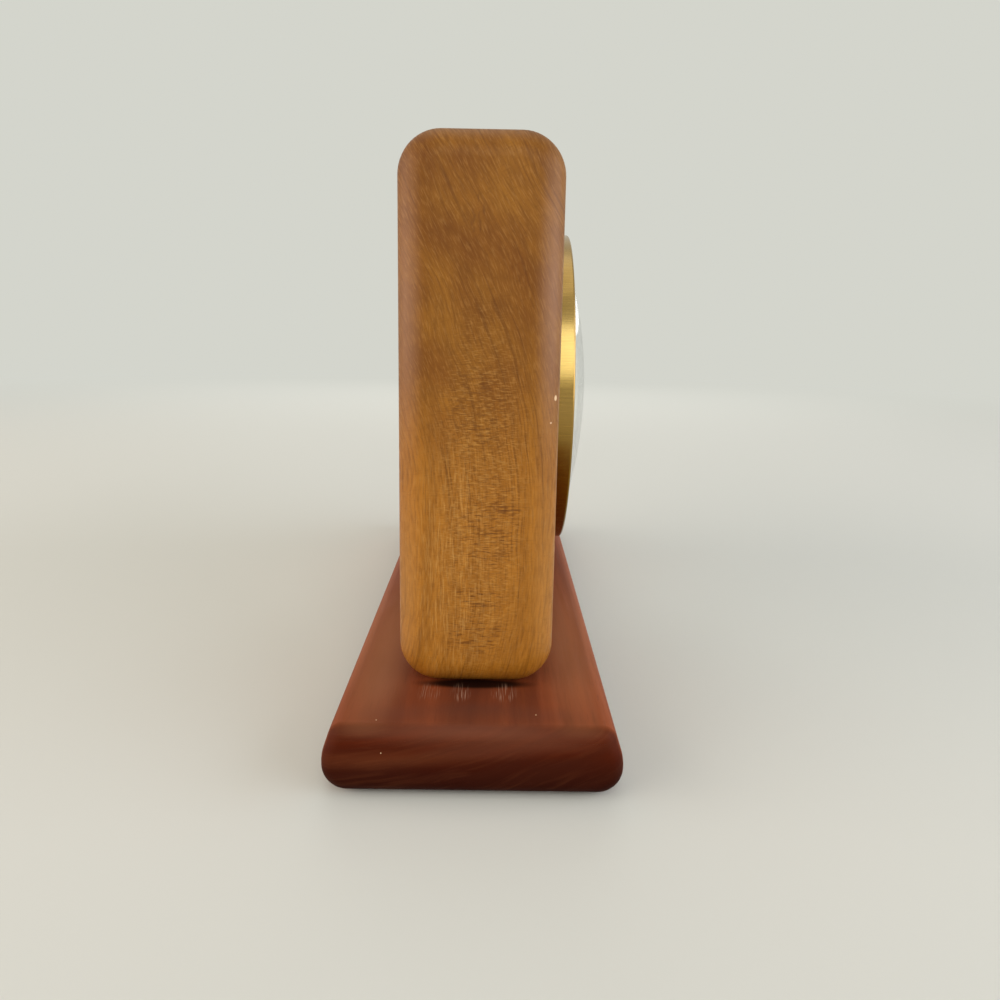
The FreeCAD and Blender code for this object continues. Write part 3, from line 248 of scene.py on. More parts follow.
@dataclass(frozen=True, kw_only=True)
class SolidWood(Finish):
    """Hardwood sawn from the tree, sanded and oiled, so the figure runs through the piece.

    The growth rings run round a pith that lies along X. The ends show them as fine hatching with
    short rays across it, and the long faces show them as straight grain with pore streaks.
    """

    pale: str
    deep: str
    line: str
    light: str
    # A painted tone towards the bottom, standing in for shade and for less reflected light there
    glow: str
    pith: tuple[float, float]
    # The heights where the painted low tone begins and where it is full
    glow_from: float
    glow_full: float
    # The end grain's tones above and below: the lower one is painted shade
    end_tones: tuple[str, str] | None = None
    end_zone: tuple[float, float] = (0.0, 1.0)
    ring_mm: float = 2.6
    wobble_mm: float = 7.0
    hatch_mm: float = 0.5
    hatch_run_mm: float = 5.0
    growth_strength: float = 0.22
    hatch_strength: float = 0.36
    ray_strength: float = 0.22
    light_strength: float = 0.26
    pore_strength: float = 0.25
    thread_strength: float = 0.4
    flaws: tuple[Flaw, ...]
    roughness: float = 0.44
    coat: float = 0.0
    specular: float

    def build(self) -> Material:
        """Oiled end grain: satin, with hatching, mottle and rays, and a painted shade tone towards
        the bottom.
        """
        graph = self.start()
        colour, relief = self.figure(graph, self.ring_coordinates(graph))
        for flaw in self.flaws:
            mask = flaw.mask(graph)
            colour = graph.add("Mix", {0: mask, MIX_A: colour, MIX_B: flaw.tone}, data_type="RGBA")
        bump = graph.add("Bump", {"Strength": 0.3, "Distance": 0.06 * MM, "Height": relief})
        rough = graph.add(
            "MapRange", (relief, 0.0, 1.0, self.roughness + 0.07, self.roughness - 0.05)
        )
        return graph.shade({
            "Base Color": colour, "Roughness": rough, "Specular IOR Level": self.specular,
            "Coat Weight": self.coat, "Coat Roughness": 0.28, "Normal": bump,
        })

    def ring_coordinates(self, graph: Graph) -> Node:
        """Millimetres across the rings, along the rings and along the tree.

        The place is swayed a little, as real rings are, and measured from the pith.

        Args:
            graph: the material's graph

        Returns:
            A vector of the three distances.
        """
        slow = graph.add("VectorMath", (graph.place, (0.2, 1.0, 1.0)), operation="MULTIPLY")
        drift = graph.add("TexNoise", {"Vector": slow, "Scale": 28.0, "Detail": 2.0})
        centred = drift.outputs["Color"]
        swing = self.wobble_mm * MM
        for operation, value in (
            ("SUBTRACT", (0.5, 0.5, 0.5)), ("MULTIPLY", (0.0, swing, swing)),
            ("ADD", graph.place), ("SUBTRACT", (0.0, *self.pith)),
        ):
            centred = graph.add("VectorMath", (centred, value), operation=operation)
        parts = graph.add("SeparateXYZ", (centred,))
        flat = graph.add("VectorMath", (centred, (0.0, 1.0, 1.0)), operation="MULTIPLY")
        radius = graph.add("VectorMath", (flat,), operation="LENGTH")
        outwards = graph.add("Math", (parts.outputs["Y"], -1.0), operation="MULTIPLY")
        angle = graph.add("Math", (parts.outputs["Z"], outwards), operation="ARCTAN2")
        along = graph.add("Math", (angle, math.hypot(*self.pith)), operation="MULTIPLY")
        joined = graph.add("CombineXYZ", (radius, along, parts.outputs["X"]))
        return graph.add("VectorMath", (joined, (1 / MM,) * 3), operation="MULTIPLY")

    def body_tone(self, graph: Graph, mottle: Node) -> Node:
        """The wood's colour before its lines: mottled, with painted shade towards the bottom, and
        darker where it is end grain.

        Args:
            graph: the material's graph
            mottle: the slow blotches, from 0 to 1

        Returns:
            The colour.
        """
        parts = graph.add("SeparateXYZ", (graph.place,))
        base = graph.add("Mix", {0: mottle, MIX_A: self.pale, MIX_B: self.deep}, data_type="RGBA")
        # Painted shade: a tone that takes over towards the bottom, warmer on the block and darker on
        # the foot
        lower = graph.add(
            "MapRange", (parts.outputs["Z"], self.glow_from, self.glow_full),
            interpolation_type="SMOOTHSTEP",
        )
        shaded_low = graph.add("Mix", {0: lower, MIX_A: base, MIX_B: self.glow}, data_type="RGBA")
        if not self.end_tones:
            return shaded_low
        # On the end grain the lower tone is painted shade, darker towards the bottom
        upper_tone, shaded_end_tone = self.end_tones
        end = graph.add("Mix", {0: lower, MIX_A: upper_tone, MIX_B: shaded_end_tone}, data_type="RGBA")
        reach = graph.add("Math", (parts.outputs["X"],), operation="ABSOLUTE")
        edge = graph.add(
            "MapRange", (reach, *self.end_zone), interpolation_type="SMOOTHSTEP"
        )
        return graph.add("Mix", {0: edge, MIX_A: shaded_low, MIX_B: end}, data_type="RGBA")

    def figure(self, graph: Graph, rings: Node) -> tuple[Node, Node]:
        """The wood's colour, and the height of its surface.

        Args:
            graph: the material's graph
            rings: the ring coordinates in millimetres

        Returns:
            The colour and the height.
        """
        # Each layer's size in mm across the rings, along them and along the tree, the noise
        # values that turn to 0 and 1, and how many finer layers its noise has
        growth, hatch, fine, rays, threads, pores, mottle = (
            graph.add("MapRange", (graph.patches(rings, size, detail), low, high))
            for size, low, high, detail in (
                ((self.ring_mm, 60.0, 400.0), 0.36, 0.64, 2.0),
                ((self.hatch_mm, self.hatch_run_mm, 50.0), 0.44, 0.66, 3.0),
                ((self.hatch_mm * 0.7, self.hatch_run_mm * 0.5, 36.0), 0.5, 0.68, 2.0),
                ((2.6, 0.34, 7.0), 0.56, 0.74, 2.0),
                ((0.5, 30.0, 200.0), 0.6, 0.68, 2.0),
                ((0.34, 0.6, 12.0), 0.6, 0.72, 2.0),
                ((9.0, 14.0, 90.0), 0.34, 0.66, 2.0),
            )
        )
        colour = self.body_tone(graph, mottle)
        for layer, strength, tone in (
            (growth, self.growth_strength, self.line), (hatch, self.hatch_strength, self.line),
            (rays, self.ray_strength, self.line), (fine, self.light_strength, self.light),
            (pores, self.pore_strength, self.line), (threads, self.thread_strength, self.line),
        ):
            share = graph.add("Math", (layer, strength), operation="MULTIPLY")
            colour = graph.add("Mix", {0: share, MIX_A: colour, MIX_B: tone}, data_type="RGBA")
        relief = graph.add("Math", (fine, hatch), operation="SUBTRACT")
        return colour, graph.add("MapRange", (relief, -1.0, 1.0))


@dataclass(frozen=True)
class Toned(Finish):
    """A finish whose colour drifts from a tone to a shade, with fine relief in its gloss."""

    tone: str
    shade: str
    roughness: float

    def drift(
        self, graph: Graph, scale: float, detail: float, low: float = 0.3, high: float = 0.75
    ) -> Node:
        """The drifting colour.

        Args:
            graph: the material's graph
            scale: how fast it drifts
            detail: how many finer layers the drift has
            low: the noise value that gives the tone
            high: the noise value that gives the shade

        Returns:
            The colour.
        """
        noise = graph.add("TexNoise", {"Vector": graph.place, "Scale": scale, "Detail": detail})
        return graph.add("ValToRGB", (noise,), ((low, self.tone), (high, self.shade)))

    def close(
        self, graph: Graph, relief: Node, gloss: tuple[float, float], rise: tuple[float, float],
        inputs: dict[str, object],
    ) -> Material:
        """Ends the material, with relief that breaks up the gloss and stands out a little.

        Args:
            graph: the material's graph
            relief: the fine relief, from 0 to 1
            gloss: the shares of the roughness in the relief's hollows and on its crests
            rise: the relief's strength and its height in millimetres
            inputs: what the shader's other sockets take

        Returns:
            The material.
        """
        low, high = (self.roughness * share for share in gloss)
        rough = graph.add("MapRange", (relief, 0.0, 1.0, low, high))
        strength, height = rise
        bump = graph.add("Bump", {"Strength": strength, "Distance": height * MM, "Height": relief})
        return graph.shade({"Roughness": rough, "Normal": bump} | inputs)


@dataclass(frozen=True)
class Metal(Toned):
    """Metal with a worked surface: fine marks of one direction and a slow change of tone."""

    grain_mm: Triple
    mark_depth: float = 0.02
    mark_share: float = 0.35

    def build(self) -> Material:
        """Fine marks along the working direction break up the gloss, and the tone drifts."""
        graph = self.start()
        marks = graph.patches(graph.place, [size * MM for size in self.grain_mm], 3.0)
        tone = self.drift(graph, 60.0, 2.0, 0.35, 0.7)
        colour = graph.add(
            "Mix", {0: self.mark_share, MIX_A: tone, MIX_B: marks},
            data_type="RGBA", blend_type="OVERLAY",
        )
        return self.close(
            graph, marks, (0.75, 1.3), (0.25, self.mark_depth),
            {"Base Color": colour, "Metallic": 1.0},
        )


@dataclass(frozen=True)
class BandedBrass(Toned):
    """Brass strip brushed straight across the bezel's wall, under old lacquer."""

    # A painted shade tone for the lower part of the wall, and the heights where it begins and is full
    tarnish: str
    axis: tuple[float, float]
    radius: float
    fresh_from: float
    tarnished_from: float
    brush_mm: float = 0.35
    stroke_mm: float = 9.0
    mark_depth: float = 0.015
    mark_share: float = 0.3

    def build(self) -> Material:
        """Marks run front to back round the wall, and painted shade darkens its lower part."""
        graph = self.start()
        parts = graph.add("SeparateXYZ", (graph.place,))
        across = graph.add("Math", (parts.outputs["X"], self.axis[0]), operation="SUBTRACT")
        up = graph.add("Math", (parts.outputs["Z"], self.axis[1]), operation="SUBTRACT")
        angle = graph.add("Math", (up, across), operation="ARCTAN2")
        turns, depths = self.radius / (self.brush_mm * MM), 1 / (self.stroke_mm * MM)
        around = graph.add("Math", (angle, turns), operation="MULTIPLY")
        inwards = graph.add("Math", (parts.outputs["Y"], depths), operation="MULTIPLY")
        lay = graph.add("CombineXYZ", (around, inwards))
        marks = graph.add("TexNoise", {"Vector": lay, "Scale": 1.0, "Detail": 3.0})
        # Painted shade: the wall turns to the shade tone towards the bottom
        shade_mask = graph.add(
            "MapRange", (parts.outputs["Z"], self.fresh_from, self.tarnished_from),
            interpolation_type="SMOOTHSTEP",
        )
        unshaded = self.drift(graph, 45.0, 3.0)
        with_shade = graph.add("Mix", {0: shade_mask, MIX_A: unshaded, MIX_B: self.tarnish}, data_type="RGBA")
        colour = graph.add(
            "Mix", {0: self.mark_share, MIX_A: with_shade, MIX_B: marks},
            data_type="RGBA", blend_type="OVERLAY",
        )
        return self.close(graph, marks, (0.8, 1.25), (0.3, self.mark_depth), {
            "Base Color": colour, "Metallic": 1.0, "Coat Weight": 0.32, "Coat Roughness": 0.15,
        })


@dataclass(frozen=True)
class ClearGlass(Finish):
    """Pressed and polished clock glass, all but colourless."""

    tint: str = "FBFCFB"
    smear_roughness: float = 0.03

    def build(self) -> Material:
        """Clear and sharp. Lamps reach the dial through it, as through thin clean glass."""
        graph = self.start()
        smear = graph.add("TexNoise", {"Vector": graph.place, "Scale": 40.0, "Detail": 2.0})
        rough = graph.add("MapRange", (smear, 0.0, 1.0, 0.0, self.smear_roughness))
        glass = graph.add("BsdfPrincipled", {
            "Base Color": self.tint, "Roughness": rough, "IOR": 1.52, "Transmission Weight": 1.0,
        })
        clear = graph.add("BsdfTransparent", {"Color": self.tint})
        shadow = graph.add("LightPath").outputs["Is Shadow Ray"]
        mix = graph.add("MixShader", (shadow, glass, clear))
        graph.add("OutputMaterial", {"Surface": mix})
        return graph.owner


@dataclass(frozen=True)
class Coating(Toned):
    """A painted, printed, moulded or woven surface: one colour with fine unevenness."""

    speck_mm: float = 1.2
    relief_mm: float = 0.01
    sheen: float = 0.0
    coat: float = 0.0

    def build(self) -> Material:
        """A slow drift of tone, with the fine relief of the paint, mould or fibre."""
        graph = self.start()
        rate = 1 / (self.speck_mm * MM)
        speck = graph.add("TexNoise", {"Vector": graph.place, "Scale": rate, "Detail": 2.0})
        return self.close(graph, speck, (0.85, 1.15), (0.3, self.relief_mm), {
            "Base Color": self.drift(graph, 50.0, 3.0), "Sheen Weight": self.sheen,
            "Coat Weight": self.coat,
        })


PALE_BREAK = "E2BE94"
SANDED = "B08A74"
# Painted sheen on the block's rounded edges, pale above and warm orange below
PAINTED_SHEEN = "A67C62"
PAINTED_WARM_SHEEN = "C08C4C"
# Painted sheen along the foot's long edges and painted light on the sides of its top
PAINTED_EDGE_SHEEN = "A8705A"
PAINTED_TOP_LIGHT = "BE845A"
PALE_BAND = "804628"
COOL_BAND = "804C36"
DARK_BAND = "381206"
BLOCK_FLAWS = (
    # The rounded long edges: painted sheen, pale in the upper half and warm orange lower down
    Flaw((-104.0, 16.8, 108.0), (6.0, 5.4, 48.0), PAINTED_SHEEN, 0.34),
    Flaw((-104.0, -16.6, 110.0), (6.0, 5.4, 46.0), PAINTED_SHEEN, 0.4),
    Flaw((-104.0, 17.0, 42.0), (6.0, 5.0, 34.0), PAINTED_WARM_SHEEN, 0.3),
    Flaw((-104.0, -16.8, 42.0), (6.0, 5.0, 34.0), PAINTED_WARM_SHEEN, 0.16),
    # The end grain's dark flecks, pale rays and saw marks
    Flaw((-106.0, 0.5, 40.0), (5.0, 10.5, 4.0), "5A2C04", 0.9, (20.0, 3.4, 0.34)),
    Flaw((-106.0, 0.0, 31.0), (5.0, 11.5, 8.0), "5F3006", 0.7, (20.0, 3.0, 0.36)),
    Flaw((-106.0, -1.0, 62.0), (5.0, 14.5, 58.0), "C8944C", 0.4, (20.0, 1.5, 0.26)),
    Flaw((-106.0, -1.0, 62.0), (5.0, 14.0, 58.0), "643A0A", 0.4, (20.0, 1.2, 0.24)),
    Flaw((-106.0, 6.0, 46.0), (5.0, 13.0, 44.0), "CC9852", 0.34, (20.0, 0.3, 4.0)),
    Flaw((-106.0, -2.5, 58.0), (5.0, 11.0, 18.0), "5F3006", 0.7, (20.0, 2.6, 0.3)),
    Flaw((-106.0, -6.5, 62.4), (5.0, 7.0, 1.8), "522604", 0.9, (20.0, 4.5, 0.4)),
    Flaw((-106.0, -4.5, 56.5), (5.0, 6.0, 1.2), "522604", 0.9, (20.0, 4.5, 0.4)),
    Flaw((-106.0, -6.0, 52.2), (5.0, 4.5, 1.2), "522604", 0.9, (20.0, 4.5, 0.4)),
    Flaw((-106.0, 0.5, 86.0), (5.0, 12.0, 17.0), "5F3408", 0.6, (20.0, 2.2, 0.34)),
    Flaw((-106.0, 0.8, 128.5), (4.0, 2.4, 7.0), "633A10", 0.8, (20.0, 0.7, 3.0)),
    # Two chips beside the bezel
    Flaw((-103.2, -18.0, 88.4), (1.3, 0.45, 0.8), PALE_BREAK, core=0.75),
    Flaw((-104.7, -17.0, 82.7), (1.0, 0.4, 0.4), PALE_BREAK, core=0.75),
)
FOOT_FLAWS = (
    # Painted reflection on the near end's upper arris, painted sheen along the long edges and painted
    # light on the sides of the top
    Flaw((-127.6, 0.0, 17.1), (5.0, 44.0, 6.0), "7E4C36", 0.55),
    Flaw((0.0, 32.0, 14.0), (150.0, 6.0, 8.0), PAINTED_EDGE_SHEEN, 0.4),
    Flaw((0.0, -32.0, 14.0), (150.0, 6.0, 8.0), PAINTED_EDGE_SHEEN, 0.4),
    Flaw((-70.0, 25.0, 17.1), (85.0, 12.0, 4.0), PAINTED_TOP_LIGHT, 0.42),
    Flaw((-70.0, -25.0, 17.1), (85.0, 12.0, 4.0), PAINTED_TOP_LIGHT, 0.36),
    # Painted shade on the top in front of the block and a painted contact shadow along its foot, with
    # three sanded spots
    Flaw((-112.0, 0.0, 17.1), (14.0, 22.0, 2.0), "4C2C24", 0.46, core=0.3),
    Flaw((-103.4, 0.0, 17.1), (3.5, 17.0, 2.0), "140603", 0.95, core=0.5),
    Flaw((-108.5, 11.0, 17.1), (6.5, 3.6, 2.0), SANDED, 0.4, (9.0, 0.3, 9.0)),
    Flaw((-108.5, 3.4, 17.1), (6.5, 3.0, 2.0), SANDED, 0.65, (9.0, 0.3, 9.0)),
    Flaw((-108.5, -7.2, 17.1), (6.5, 3.8, 2.0), SANDED, 0.65, (9.0, 0.32, 9.0)),
    # The grain bands across the near end, and painted shade on the top above them
    Flaw((-128.0, 26.0, 9.0), (5.0, 20.0, 3.0), PALE_BAND, 0.2),
    Flaw((-128.0, 12.0, 10.0), (5.0, 20.0, 2.8), PALE_BAND, 0.2),
    Flaw((-128.0, -2.0, 11.6), (5.0, 20.0, 2.8), COOL_BAND, 0.2),
    Flaw((-128.0, -16.0, 13.4), (5.0, 20.0, 2.8), COOL_BAND, 0.2),
    Flaw((-128.0, -16.0, 8.6), (5.0, 26.0, 2.8), DARK_BAND, 0.45),
    Flaw((-128.0, 14.0, 5.4), (5.0, 22.0, 2.0), DARK_BAND, 0.3),
    Flaw((-121.0, 0.0, 17.1), (9.0, 30.0, 3.0), "5E382C", 0.5, core=0.3),
    # Three small chips and a scratch
    Flaw((-120.3, -14.4, 17.1), (0.3, 0.16, 0.6), PALE_BREAK, core=0.75),
    Flaw((-124.0, 21.9, 17.1), (0.25, 0.14, 0.6), PALE_BREAK, core=0.75),
    Flaw((-127.9, 20.4, 11.1), (0.6, 0.14, 0.16), PALE_BREAK, core=0.75),
    Flaw((-127.9, -30.6, 5.6), (1.4, 1.2, 0.22), "8A5A40", 0.7, (9.0, 2.0, 0.3)),
)


class Finishes:
    """Every finish of the clock, each made into a material once."""

    def __init__(self, dial_centre: Vector) -> None:
        """Makes the materials.

        Args:
            dial_centre: the middle of the dial, which the bezel's brushing runs round
        """
        bezel_low, bezel_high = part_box("bezel")
        middle = (bezel_low.z + bezel_high.z) / 2
        finishes = {
            "block": SolidWood(
                "Cherry, sanded and oiled", "walnut",
                # The block's painted low tone is a warmer orange, for less reflected light on its
                # lower part
                pale="905C18", deep="78460D", line="5A3004", light="AE7C3E", glow="AA6C1F",
                pith=(0.155, 0.05), glow_from=0.105, glow_full=0.055, flaws=BLOCK_FLAWS,
                specular=0.2, coat=0.02,
            ),
            "foot": SolidWood(
                "Mahogany, sanded and oiled", "mahogany",
                # The foot's painted low tone and its lower end tone darken its lower part as painted
                # shade
                pale="A2502A", deep="924622", line="3C1608", light="9C5A34", glow="6E3013",
                pith=(0.03, 0.105), glow_from=0.016, glow_full=0.003,
                end_tones=("561A02", "2A0700"), end_zone=(0.1246, 0.127), ring_mm=2.8,
                wobble_mm=9.0, growth_strength=0.5, hatch_mm=1.2, hatch_run_mm=22.0,
                hatch_strength=0.16, light_strength=0.05, pore_strength=0.1,
                thread_strength=0.08, flaws=FOOT_FLAWS, roughness=0.56, specular=0.06,
            ),
            "bezel": BandedBrass(
                "Brass, brushed and lacquered", "brass_brushed", "B69456", "987632", 0.25,
                # The shade tone is painted shade that darkens the bezel's wall towards the bottom
                tarnish="8A680C", axis=(dial_centre.x, dial_centre.z),
                radius=(bezel_high.x - bezel_low.x) / 2, fresh_from=middle + 26 * MM,
                tarnished_from=bezel_low.z + 8 * MM,
            ),
            "glass": ClearGlass("Clock glass, pressed and polished", "crystal_glass"),
            "sight_ring": Coating(
                "Sight ring plastic, moulded", "cream_plastic", "EFE8D0", "E6DEC2", 0.35,
                coat=0.2,
            ),
            "dial": Coating(
                "Dial enamel, sprayed", "dial_enamel", "F1ECDC", "E9E2CC", 0.5, relief_mm=0.004
            ),
            "ink": Coating(
                "Dial ink, printed", "black_hand", "16130F", "1F1B16", 0.55, speck_mm=0.4
            ),
            "hand": Coating(
                "Hand lacquer, stoved", "black_hand", "0F0F10", "18181A", 0.3, speck_mm=0.5,
                coat=0.3,
            ),
            "plate": Metal(
                "Brass sheet, rolled", "brass_plate", "D9BE74", "C4A65C", 0.3, (6.0, 0.4, 0.4)
            ),
            "knob": Metal(
                "Brass, turned and polished", "brass_knob", "DDBF6C", "C7A652", 0.2,
                (3.0, 0.25, 3.0),
            ),
            "steel": Metal(
                "Steel, turned", "turned_steel", "9C9C9A", "868686", 0.24, (2.0, 0.2, 2.0)
            ),
            "spring": Metal(
                "Spring steel, blued", "blued_spring", "48506A", "363C54", 0.25, (1.0, 1.0, 0.2)
            ),
            "zinc": Metal(
                "Steel sheet, zinc plated", "zinc_sheet", "BEBEB8", "A8A8A2", 0.38,
                (1.2, 1.2, 1.2), mark_share=0.16,
            ),
            "felt": Coating(
                "Wool felt, pressed", "felt", "24382C", "1B2C22", 0.95, speck_mm=0.5,
                relief_mm=0.12, sheen=0.5,
            ),
        }
        self.slots = {name: finish.slot for name, finish in finishes.items()}
        self.materials = {name: finish.build() for name, finish in finishes.items()}

    def dress(self, piece: Object, name: str) -> None:
        """Gives a piece one finish all over.

        Args:
            piece: a new piece or a carried-over CAD node
            name: the finish
        """
        piece.data.materials.clear()
        piece.data.materials.append(self.materials[name])


# Modelling by hand
def select_only(*pieces: Object) -> None:
    """Selects these pieces alone, with the first one active."""
    bpy.ops.object.select_all(action="DESELECT")
    for piece in pieces:
        piece.select_set(True)
    bpy.context.view_layer.objects.active = pieces[0]


def open_all() -> None:
    """Opens the active piece in edit mode, all of it selected."""
    bpy.ops.object.mode_set(mode="EDIT")
    bpy.ops.mesh.select_all(action="SELECT")


def leave_edit() -> None:
    """Goes back to object mode."""
    bpy.ops.object.mode_set(mode="OBJECT")


def apply_place() -> None:
    """Takes the selected piece's place, turn and size into its mesh."""
    bpy.ops.object.transform_apply(location=True, rotation=True, scale=True)


def extrude(way: Iterable[float]) -> None:
    """Extrudes what is selected by a step along each axis."""
    bpy.ops.mesh.extrude_region_move(TRANSFORM_OT_translate={"value": tuple(way)})


def begin(kind: Callable[..., set], name: str, **settings: object) -> Object:
    """Adds a primitive, alone in the selection, under its own name.

    Args:
        kind: the operator that adds it
        name: the piece's name
        settings: the operator's settings

    Returns:
        The new object.
    """
    bpy.ops.object.select_all(action="DESELECT")
    kind(**settings)
    piece = bpy.context.view_layer.objects.active
    piece.name = name
    return piece


def pick(piece: Object, mode: str, test: Callable[[list[Vector], Vector], bool]) -> None:
    """Selects the faces or edges of a piece that pass a test, and leaves it in edit mode.

    Args:
        piece: the active piece
        mode: "FACE" or "EDGE"
        test: takes the corners and the normal of a face, or the ends and direction of an edge
    """
    bpy.ops.object.mode_set(mode="EDIT")
    bpy.ops.mesh.select_mode(type=mode)
    bpy.ops.mesh.select_all(action="DESELECT")
    leave_edit()
    mesh = piece.data
    for part in mesh.polygons if mode == "FACE" else mesh.edges:
        corners = [mesh.vertices[number].co for number in part.vertices]
        heading = part.normal if mode == "FACE" else (corners[1] - corners[0]).normalized()
        part.select = test(corners, heading)
    bpy.ops.object.mode_set(mode="EDIT")


def apply_modifier(piece: Object, kind: str, **settings: object) -> None:
    """Adds one modifier and applies it.

    Args:
        piece: the piece
        kind: the modifier's type
        settings: its settings
    """
    select_only(piece)
    modifier = piece.modifiers.new(kind.title(), kind)
    for name, value in settings.items():
        setattr(modifier, name, value)
    bpy.ops.object.modifier_apply(modifier=modifier.name)


def cut_away(piece: Object, cutter: Object) -> None:
    """Cuts one piece out of another and deletes the cutter.

    Args:
        piece: the piece that is cut
        cutter: the shape that is taken away
    """
    apply_modifier(piece, "BOOLEAN", operation="DIFFERENCE", solver="EXACT", object=cutter)
    bpy.data.objects.remove(cutter)


def rounded_bar(name: str, low: Vector, high: Vector, end_radius: float) -> Object:
    """A plain bar along X that stops short of its box by the rounding of its ends.

    Args:
        name: the piece's name
        low: the box's low corner
        high: the box's high corner
        end_radius: how far each end stops short

    Returns:
        The bar, for round_ends to finish.
    """
    short = Vector((2 * end_radius, 0.0, 0.0))
    piece = begin(
        bpy.ops.mesh.primitive_cube_add, name, size=1.0, location=(low + high) / 2,
        scale=high - low - short,
    )
    apply_place()
    return piece


def round_ends(piece: Object, radius: float, steps: int) -> None:
    """Draws each end of a bar outwards over a quarter circle, narrowing as it goes.

    Args:
        piece: the bar, whose ends face along X
        radius: the radius of the rounding
        steps: how many facets the rounding has
    """
    angles = [math.pi / 2 * step / steps for step in range(steps + 1)]
    for side in (-1, 1):
        pick(piece, "FACE", lambda corners, heading: heading.x * side > ALONG)
        bpy.ops.mesh.dissolve_faces()
        for start, stop in zip(angles, angles[1:]):
            bpy.ops.mesh.inset(
                thickness=radius * (math.cos(start) - math.cos(stop)),
                depth=radius * (math.sin(stop) - math.sin(start)),
                use_boundary=True, use_even_offset=True,
            )
        leave_edit()


def close_up(piece: Object, angle: float = 35.0) -> Object:
    """Merges doubles, turns faces outwards, applies the place and shades by angle.

    Args:
        piece: the piece to finish
        angle: the sharpest angle that still shades smooth, in degrees

    Returns:
        The same piece.
    """
    if bpy.context.object and bpy.context.object.mode == "EDIT":
        leave_edit()
    select_only(piece)
    open_all()
    bpy.ops.mesh.remove_doubles(threshold=0.001 * MM)
    bpy.ops.mesh.normals_make_consistent(inside=False)
    leave_edit()
    apply_place()
    bpy.ops.object.shade_smooth_by_angle(angle=math.radians(angle))
    return piece


def even_out(piece: Object) -> None:
    """Lets the broad faces set the shading beside roundings."""
    apply_modifier(piece, "WEIGHTED_NORMAL", keep_sharp=True)


def turn_up(
    name: str, centre: Vector, profile: Profile, closed: bool = True, segments: int = 192
) -> Object:
    """Turns a piece about Y: a circle is drawn out from ring to ring.

    Args:
        name: the piece's name
        centre: a point on the axis
        profile: (radius, y) of each ring. A radius of 0 ends in a point
        closed: whether the last ring is joined back to the first
        segments: how many sides the turned piece has

    Returns:
        The turned piece, with its place still to be applied.
    """
    radius, y = profile[0]
    piece = begin(
        bpy.ops.mesh.primitive_circle_add, name, vertices=segments, radius=radius,
        location=(centre.x, y, centre.z), rotation=SIDEWAYS,
    )
    apply_place()
    bpy.ops.object.mode_set(mode="EDIT")
    bpy.ops.mesh.select_mode(type="VERT")
    bpy.ops.mesh.select_all(action="SELECT")
    for next_radius, next_y in profile[1:] + (profile[:1] if closed else []):
        extrude((0.0, next_y - y, 0.0))
        if next_radius == 0:
            bpy.ops.mesh.merge(type="CENTER")
            break
        grow = next_radius / radius
        bpy.ops.transform.resize(
            value=(grow, 1.0, grow), center_override=(centre.x, next_y, centre.z)
        )
        radius, y = next_radius, next_y
    leave_edit()
    return piece


def arc_points(
    middle: tuple[float, float], radius: float, start: float, stop: float, steps: int
) -> Profile:
    """Points along an arc in a profile.

    Args:
        middle: (radius, y) of the arc's centre
        radius: the arc's radius
        start: the first point's angle, in radians from +radius towards +y
        stop: the last point's angle
        steps: how many stretches the arc has

    Returns:
        The points, both ends among them.
    """
    angles = [start + (stop - start) * step / steps for step in range(steps + 1)]
    return [
        (middle[0] + radius * math.cos(angle), middle[1] + radius * math.sin(angle))
        for angle in angles
    ]


def beside(centre: Vector, y: float, reach: float, bearing: float) -> Vector:
    """The point at a reach from an axis along Y.

    Args:
        centre: a point on the axis
        y: where the point lies along the axis
        reach: its distance from the axis
        bearing: its direction from the axis, in degrees from +X towards +Z

    Returns:
        The point.
    """
    angle = math.radians(bearing)
    return Vector((centre.x + reach * math.cos(angle), y, centre.z + reach * math.sin(angle)))


def letter(
    name: str, words: str, spot: Vector, height: float, ink: float, about: float = 0.0
) -> Object:
    """Printed characters, drawn as text, given the ink's thickness and made a mesh.

    Args:
        name: the piece's name
        words: the characters
        spot: the middle of the print
        height: how high the characters are set
        ink: the print's thickness
        about: the turn about Z, 0 to face -Y

    Returns:
        The print.
    """
    upright = (math.pi / 2, 0.0, about)
    piece = begin(bpy.ops.object.text_add, name, location=spot, rotation=upright)
    piece.data.body = words
    piece.data.size = height
    piece.data.extrude = ink / 2
    piece.data.resolution_u = 3
    piece.data.align_x = piece.data.align_y = "CENTER"
    bpy.ops.object.convert(target="MESH")
    return piece


def join_up(parts: list[Object], name: str) -> Object:
    """Joins several objects into the first one.

    Args:
        parts: the objects
        name: the joined piece's name

    Returns:
        The joined piece.
    """
    select_only(*parts)
    bpy.ops.object.join()
    parts[0].name = name
    return parts[0]


@dataclass
class Assembly:
    """A group of new pieces, with the clock's finishes and the middle of its dial."""

    finishes: Finishes
    centre: Vector

    def build(self) -> None:
        """Models the pieces."""
        raise NotImplementedError

    def settle(
        self, piece: Object, finish: str, *nodes: str, bend: tuple[Vector, Vector] | None = None
    ) -> None:
        """Dresses a new piece, fixes it to the case unless it is given a bend, and hides the CAD
        nodes that it stands for.

        Args:
            piece: the finished piece
            finish: the name of its finish
            nodes: the CAD nodes that it replaces
            bend: where a bend from the case towards the click would begin and end. Only whether it is
                given is read: then the place is baked into the mesh and the piece rides on no body
        """
        self.finishes.dress(piece, finish)
        if bend:
            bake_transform(piece)
        else:
            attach(piece, Body.CASE.value)
        if nodes:
            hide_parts(*nodes)
        way = "bends to the click" if bend else "rides on the case"
        log.info("%s: %d faces, %s", piece.name, len(piece.data.polygons), way)


